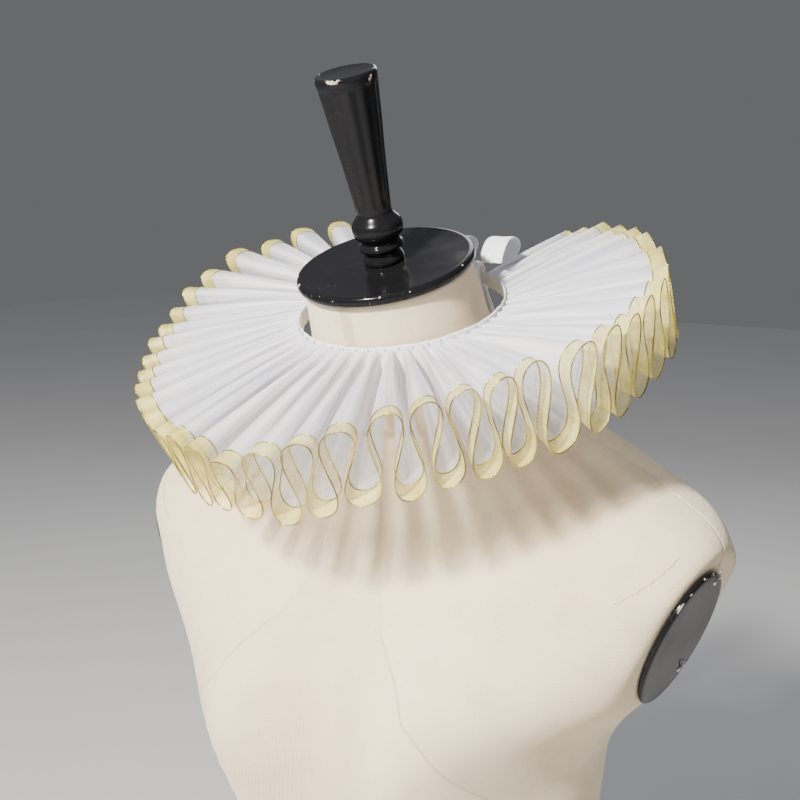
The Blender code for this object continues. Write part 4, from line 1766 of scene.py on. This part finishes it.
@dataclass
class ArmPlate:
    """Oval lacquered plate on the flat of one arm, with two small steel fittings."""

    torso: Torso
    segments: int = 96
    half_across: float = 0.0330
    half_up: float = 0.0470
    seam_gap: float = 0.0003
    profile: Table = (
        # scale, depth (mm)
        (0.985, 0.0),
        (1.000, 0.4),
        (1.008, 1.2),
        (1.004, 2.1),
        (0.990, 2.8),
        (0.965, 3.15),
        (0.90, 3.2),
        (0.70, 3.05),
        (0.40, 2.95),
        (0.12, 2.9),
    )
    wear_run: Table = (
        # depth (mm), wear
        (0.0, 0.2),
        (1.0, 0.6),
        (2.8, 1.0),
        (3.2, 0.5),
    )
    worn_scale: float = 0.95
    fittings: Table = (
        # across, up (mm)
        (10.2, 39.0),
        (18.3, -28.9),
    )
    fitting_depth: float = 0.0029
    screw_head: Table = (
        # radius, height (mm)
        (2.1, 0.0),
        (2.2, 0.3),
        (2.0, 0.7),
        (1.5, 1.0),
        (0.8, 1.15),
    )
    catch_up: float = 0.0052
    catch_half: float = 0.0024
    catch_rise: float = 0.0018
    catch_radius: float = 0.00045

    def axes(self) -> tuple[np.ndarray, ...]:
        """Directions of the plate, the first one square to the cut of the arm.

        Returns:
            Unit vectors off the arm, across the plate and up it.
        """
        off = unit(np.array([1.0, -math.tan(self.torso.turn), -math.tan(self.torso.slant)]))
        across = unit(np.cross([0.0, 0.0, 1.0], off))
        return off, across, np.cross(off, across)

    def build(self, shop: Workshop, side: Side) -> None:
        """Builds the plate and its fittings on one arm.

        Ovals of changing size are stacked along the direction off the arm.

        Args:
            shop: Makes the pieces.
            side: Which arm.
        """
        off, across, up = self.axes()
        mirror = np.array([side.value, 1.0, 1.0])
        centre = np.array(self.torso.arm_centre) + off * self.seam_gap
        turn = 2.0 * np.pi * np.arange(self.segments) / self.segments
        oval = (
            across * (self.half_across * np.cos(turn))[:, None]
            + up * (self.half_up * np.sin(turn))[:, None]
        )
        table = np.array(self.profile)
        grid = (
            centre + oval[None] * table[:, 0][:, None, None]
            + off * (table[:, 1] * MILLIMETRE)[:, None, None]
        )
        run = np.array(self.wear_run)
        wear = np.interp(table[:, 1], run[:, 0], run[:, 1])
        wear = np.where(table[:, 0] < self.worn_scale, 0.0, wear)
        wear = wear[:, None] * np.ones((1, self.segments))
        shape = grid_shape(grid * mirror, closed=True, capped=True, values={"wear": wear})
        names = f"arm_oval_{side.word}", f"arm_plate_{side.word}"
        shop.piece(names[0], shape, Finish.LACQUER, names[1:])
        shapes = []
        for place_across, place_up in np.array(self.fittings) * MILLIMETRE:
            middle = centre + off * self.fitting_depth + across * place_across + up * place_up
            shapes += self.fitting(middle, off, across, up)
        for shape in shapes:
            shape.points = shape.points * mirror
        shop.piece(f"arm_fittings_{side.word}", joined(shapes), Finish.STEEL)

    def fitting(
        self, middle: np.ndarray, off: np.ndarray, across: np.ndarray, up: np.ndarray
    ) -> list[Shape]:
        """A small raised-head screw beside a bent wire catch.

        Args:
            middle: Where it sits on the plate.
            off: Direction off the plate.
            across: Direction across it.
            up: Direction up it.

        Returns:
            Two shapes, the screw head and the catch.
        """
        radius, height = np.array(self.screw_head).T * MILLIMETRE
        turn = 2.0 * np.pi * np.arange(20) / 20
        circle = across * np.cos(turn)[:, None] + up * np.sin(turn)[:, None]
        head = middle + circle[None] * radius[:, None, None] + off * height[:, None, None]
        bend = np.linspace(0.0, np.pi, 17)
        wire = (
            middle + up * self.catch_up
            + up * (self.catch_half * np.cos(bend))[:, None]
            + off * (self.catch_rise * np.sin(bend))[:, None]
        )
        tangent = unit(np.gradient(wire, axis=0))
        side = np.broadcast_to(across, wire.shape)
        profile = ring_profile(self.catch_radius, 8)
        tube = carried(wire, side, np.cross(tangent, side), profile)
        return [
            grid_shape(head, closed=True, capped=True),
            grid_shape(tube, closed=True, capped=True),
        ]


@dataclass
class NeckCap:
    """Thin lacquered disc on top of the neck, a little dished, worn along its rim."""

    segments: int = 144
    profile: Table = (
        # height, radius, wear (mm)
        (-6.5, 53.6, 0.0),
        (-6.3, 54.6, 0.1),
        (-5.6, 55.9, 0.3),
        (-4.7, 56.5, 0.5),
        (-3.6, 56.7, 0.6),
        (-2.4, 56.6, 0.7),
        (-1.4, 56.2, 0.9),
        (-0.6, 55.6, 1.0),
        (-0.12, 54.7, 0.8),
        (0.0, 53.6, 0.35),
        (-0.15, 50.0, 0.0),
        (-0.45, 38.0, 0.0),
        (-0.35, 24.0, 0.0),
        (-0.10, 10.0, 0.0),
        (-0.05, 2.0, 0.0),
    )

    def build(self, shop: Workshop) -> None:
        """Turns the profile about the neck's axis.

        Args:
            shop: Makes the piece.
        """
        height, radius, wear = smooth_rows(np.array(self.profile), 3).T
        shape = turned(height, radius, wear, self.segments)
        shop.piece("cap_disc", shape, Finish.LACQUER, ("neck_cap",))


@dataclass
class Finial:
    """Turned wooden handle: ring foot, round bulb, and a taper that flares and is fluted."""

    segments: int = 120
    foot: Table = (
        # height, radius, wear (mm)
        (0.3, 12.3, 0.2),
        (1.2, 12.9, 0.3),
        (3.2, 12.8, 0.2),
        (5.6, 11.6, 0.0),
        (7.4, 10.8, 0.0),
        (8.4, 12.0, 0.1),
        (9.6, 13.7, 0.4),
        (11.0, 14.1, 0.6),
        (12.4, 13.6, 0.4),
        (13.8, 12.3, 0.1),
        (15.2, 12.5, 0.0),
        (18.6, 15.2, 0.0),
        (22.5, 16.0, 0.1),
        (26.6, 15.2, 0.0),
        (30.2, 12.3, 0.0),
        (32.4, 10.9, 0.0),
        (35.0, 10.9, 0.0),
    )
    taper: Table = (
        (35.0, 10.9, 0.0),
        (45.0, 11.7, 0.1),
        (60.0, 13.0, 0.25),
        (74.0, 14.4, 0.1),
        (88.0, 15.9, 0.1),
        (100.0, 17.0, 0.2),
        (110.0, 18.0, 0.5),
    )
    lip: Table = (
        (110.0, 18.0, 0.5),
        (112.4, 18.5, 0.8),
        (114.6, 18.7, 0.9),
        (116.4, 18.5, 1.0),
        (117.5, 17.9, 1.0),
        (117.9, 17.0, 0.9),
        (117.6, 15.6, 0.4),
        (117.0, 11.0, 0.0),
        (116.8, 5.0, 0.0),
        (116.8, 1.0, 0.0),
    )
    fluted_from: float = 36.0
    fluted_to: float = 112.0
    flute_depth: float = 0.8
    flute_start: float = 5.0
    flute_end: float = 3.0
    fluted_radius: float = 10.0

    def build(self, shop: Workshop) -> None:
        """Turns the three parts of the profile as one, with flutes down the taper.

        Args:
            shop: Makes the piece.
        """
        rows = np.concatenate([
            smooth_rows(np.array(self.foot), 4)[:-1],
            smooth_rows(np.array(self.taper), 8)[:-1],
            smooth_rows(np.array(self.lip), 3),
        ])
        height, radius, wear = rows.T
        rise = np.clip((height - self.fluted_from) / self.flute_start, 0.0, 1.0)
        fall = np.clip((self.fluted_to - height) / self.flute_end, 0.0, 1.0)
        flutes = self.flute_depth * np.sqrt(rise * fall) * (radius > self.fluted_radius)
        shape = turned(height, radius, np.clip(wear, 0.0, 1.0), self.segments, flutes)
        shop.piece("turned_finial", shape, Finish.LACQUER, ("finial",))


@dataclass
class Base:
    """Plain oval plate that the form stands on."""

    segments: int = 144
    half_width: float = 150.0
    half_depth: float = 102.0
    centre_y: float = 0.008
    profile: Table = (
        # height, scale, wear
        (0.0, 0.985, 0.2),
        (0.5, 0.994, 0.3),
        (2.0, 1.0, 0.5),
        (5.0, 1.001, 0.4),
        (8.0, 1.0, 0.6),
        (9.5, 0.994, 0.8),
        (10.0, 0.983, 0.5),
        (10.0, 0.80, 0.0),
        (10.0, 0.40, 0.0),
    )

    def build(self, shop: Workshop) -> None:
        """Stacks ovals of changing size.

        Args:
            shop: Makes the piece.
        """
        height, size, wear = np.array(self.profile).T
        shape = turned(
            height, size * self.half_width, wear, self.segments,
            flatness=self.half_depth / self.half_width, centre_y=self.centre_y,
        )
        shop.piece("oval_base", shape, Finish.LACQUER, ("base_plate",))


# Studio


@dataclass(frozen=True)
class SoftLamp:
    """Square area lamp aimed at the collar."""

    name: str
    place: Triple
    size: float
    power: float
    tint: Triple = (1.0, 1.0, 1.0)
    aim: Triple = (0.0, -0.06, 0.60)

    def build(self) -> None:
        """Puts the lamp in the scene, with its -Z towards its aim."""
        data = bpy.data.lights.new(self.name, "AREA")
        data.shape, data.size, data.energy, data.color = "SQUARE", self.size, self.power, self.tint
        lamp = bpy.data.objects.new(self.name, data)
        lamp.location = self.place
        toward = Vector(self.aim) - Vector(self.place)
        lamp.rotation_euler = toward.to_track_quat("-Z", "Y").to_euler()
        bpy.context.scene.collection.objects.link(lamp)


@dataclass
class Studio:
    """Pale floor, soft lamps and the camera."""

    floor_half: float = 6.0
    floor_drop: float = 0.0004
    floor_patches: float = 0.96
    floor_tint: Triple = (0.60, 0.60, 0.61)
    horizon: Triple = (0.14, 0.142, 0.148)
    overhead: Triple = (0.24, 0.25, 0.27)
    lamps: tuple[SoftLamp, ...] = (
        SoftLamp("key_lamp", (-0.09, -1.75, 1.74), 0.2, 160.0, (1.0, 0.95, 0.88)),
        SoftLamp("fill_lamp", (1.6, -0.9, 1.1), 1.2, 3.0, (0.94, 0.97, 1.0)),
        SoftLamp("back_lamp", (-0.5, 1.5, 1.7), 0.9, 12.0),
    )
    camera_place: Triple = (0.3906, -0.6525, 0.7405)
    camera_pitch: float = math.radians(80.0)
    camera_turn: float = math.radians(31.6)
    lens: float = 1166.0 / 800.0 * 36.0

    def floor(self) -> None:
        """A flat sheet just under the base."""
        h = self.floor_half
        corners = np.array([[-h, -h], [h, -h], [h, h], [-h, h]])
        points = np.concatenate([corners, np.full((4, 1), -self.floor_drop)], axis=-1)
        mesh = bpy.data.meshes.new("studio_floor")
        mesh.from_pydata(points.tolist(), [], [(0, 1, 2, 3)])
        p = Painter("pale_floor")
        tone = p.noise(p.place(), 3.0, 2.0)
        low = tuple(self.floor_patches * part for part in self.floor_tint)
        colour = p.mixed(p.spread(tone, 0.3, 0.7), low, self.floor_tint)
        mesh.materials.append(p.finish({"Roughness": 0.9}, Base_Color=colour))
        floor = bpy.data.objects.new("studio_floor", mesh)
        bpy.context.scene.collection.objects.link(floor)

    def light(self) -> None:
        """An even surround and three lamps: key at the upper left, fill, and one behind."""
        world = bpy.data.worlds.new("studio_air")
        world.use_nodes = True
        tree = world.node_tree
        ways = tree.nodes.new("ShaderNodeTexCoord")
        parts = tree.nodes.new("ShaderNodeSeparateXYZ")
        rise = tree.nodes.new("ShaderNodeMapRange")
        rise.interpolation_type = "SMOOTHSTEP"
        rise.inputs["From Min"].default_value, rise.inputs["From Max"].default_value = 0.1, 0.9
        tone = tree.nodes.new("ShaderNodeMix")
        tone.data_type = "RGBA"
        tone.inputs[6].default_value = (*self.horizon, 1.0)
        tone.inputs[7].default_value = (*self.overhead, 1.0)
        tree.links.new(ways.outputs["Generated"], parts.inputs[0])
        tree.links.new(parts.outputs["Z"], rise.inputs["Value"])
        tree.links.new(rise.outputs[0], tone.inputs[0])
        tree.links.new(tone.outputs[2], tree.nodes["Background"].inputs["Color"])
        bpy.context.scene.world = world
        for lamp in self.lamps:
            lamp.build()

    def camera(self) -> None:
        """A level camera that looks a little down on the collar from the wearer's left."""
        data = bpy.data.cameras.new("photo_camera")
        data.sensor_width, data.lens = 36.0, self.lens
        made = bpy.data.objects.new("photo_camera", data)
        made.location = self.camera_place
        made.rotation_euler = (self.camera_pitch, 0.0, self.camera_turn)
        bpy.context.scene.collection.objects.link(made)
        bpy.context.scene.camera = made

    def build(self) -> None:
        """Sets up the floor, the light and the camera."""
        self.floor()
        self.light()
        self.camera()


def main() -> None:
    """Builds the studio, the dress form and the collar in turn."""
    Studio().build()
    shop = Workshop()
    torso = Torso()
    torso.body(shop)
    torso.seam_stitches(shop)
    plate = ArmPlate(torso)
    for side in Side:
        plate.build(shop, side)
    NeckCap().build(shop)
    Finial().build(shop)
    Base().build(shop)
    ruff = FoldedRuff()
    ruff.build(shop)
    NeckTape(ruff).build(shop)
    SatinBow(ruff).build(shop)


if __name__ == "__main__":
    main()
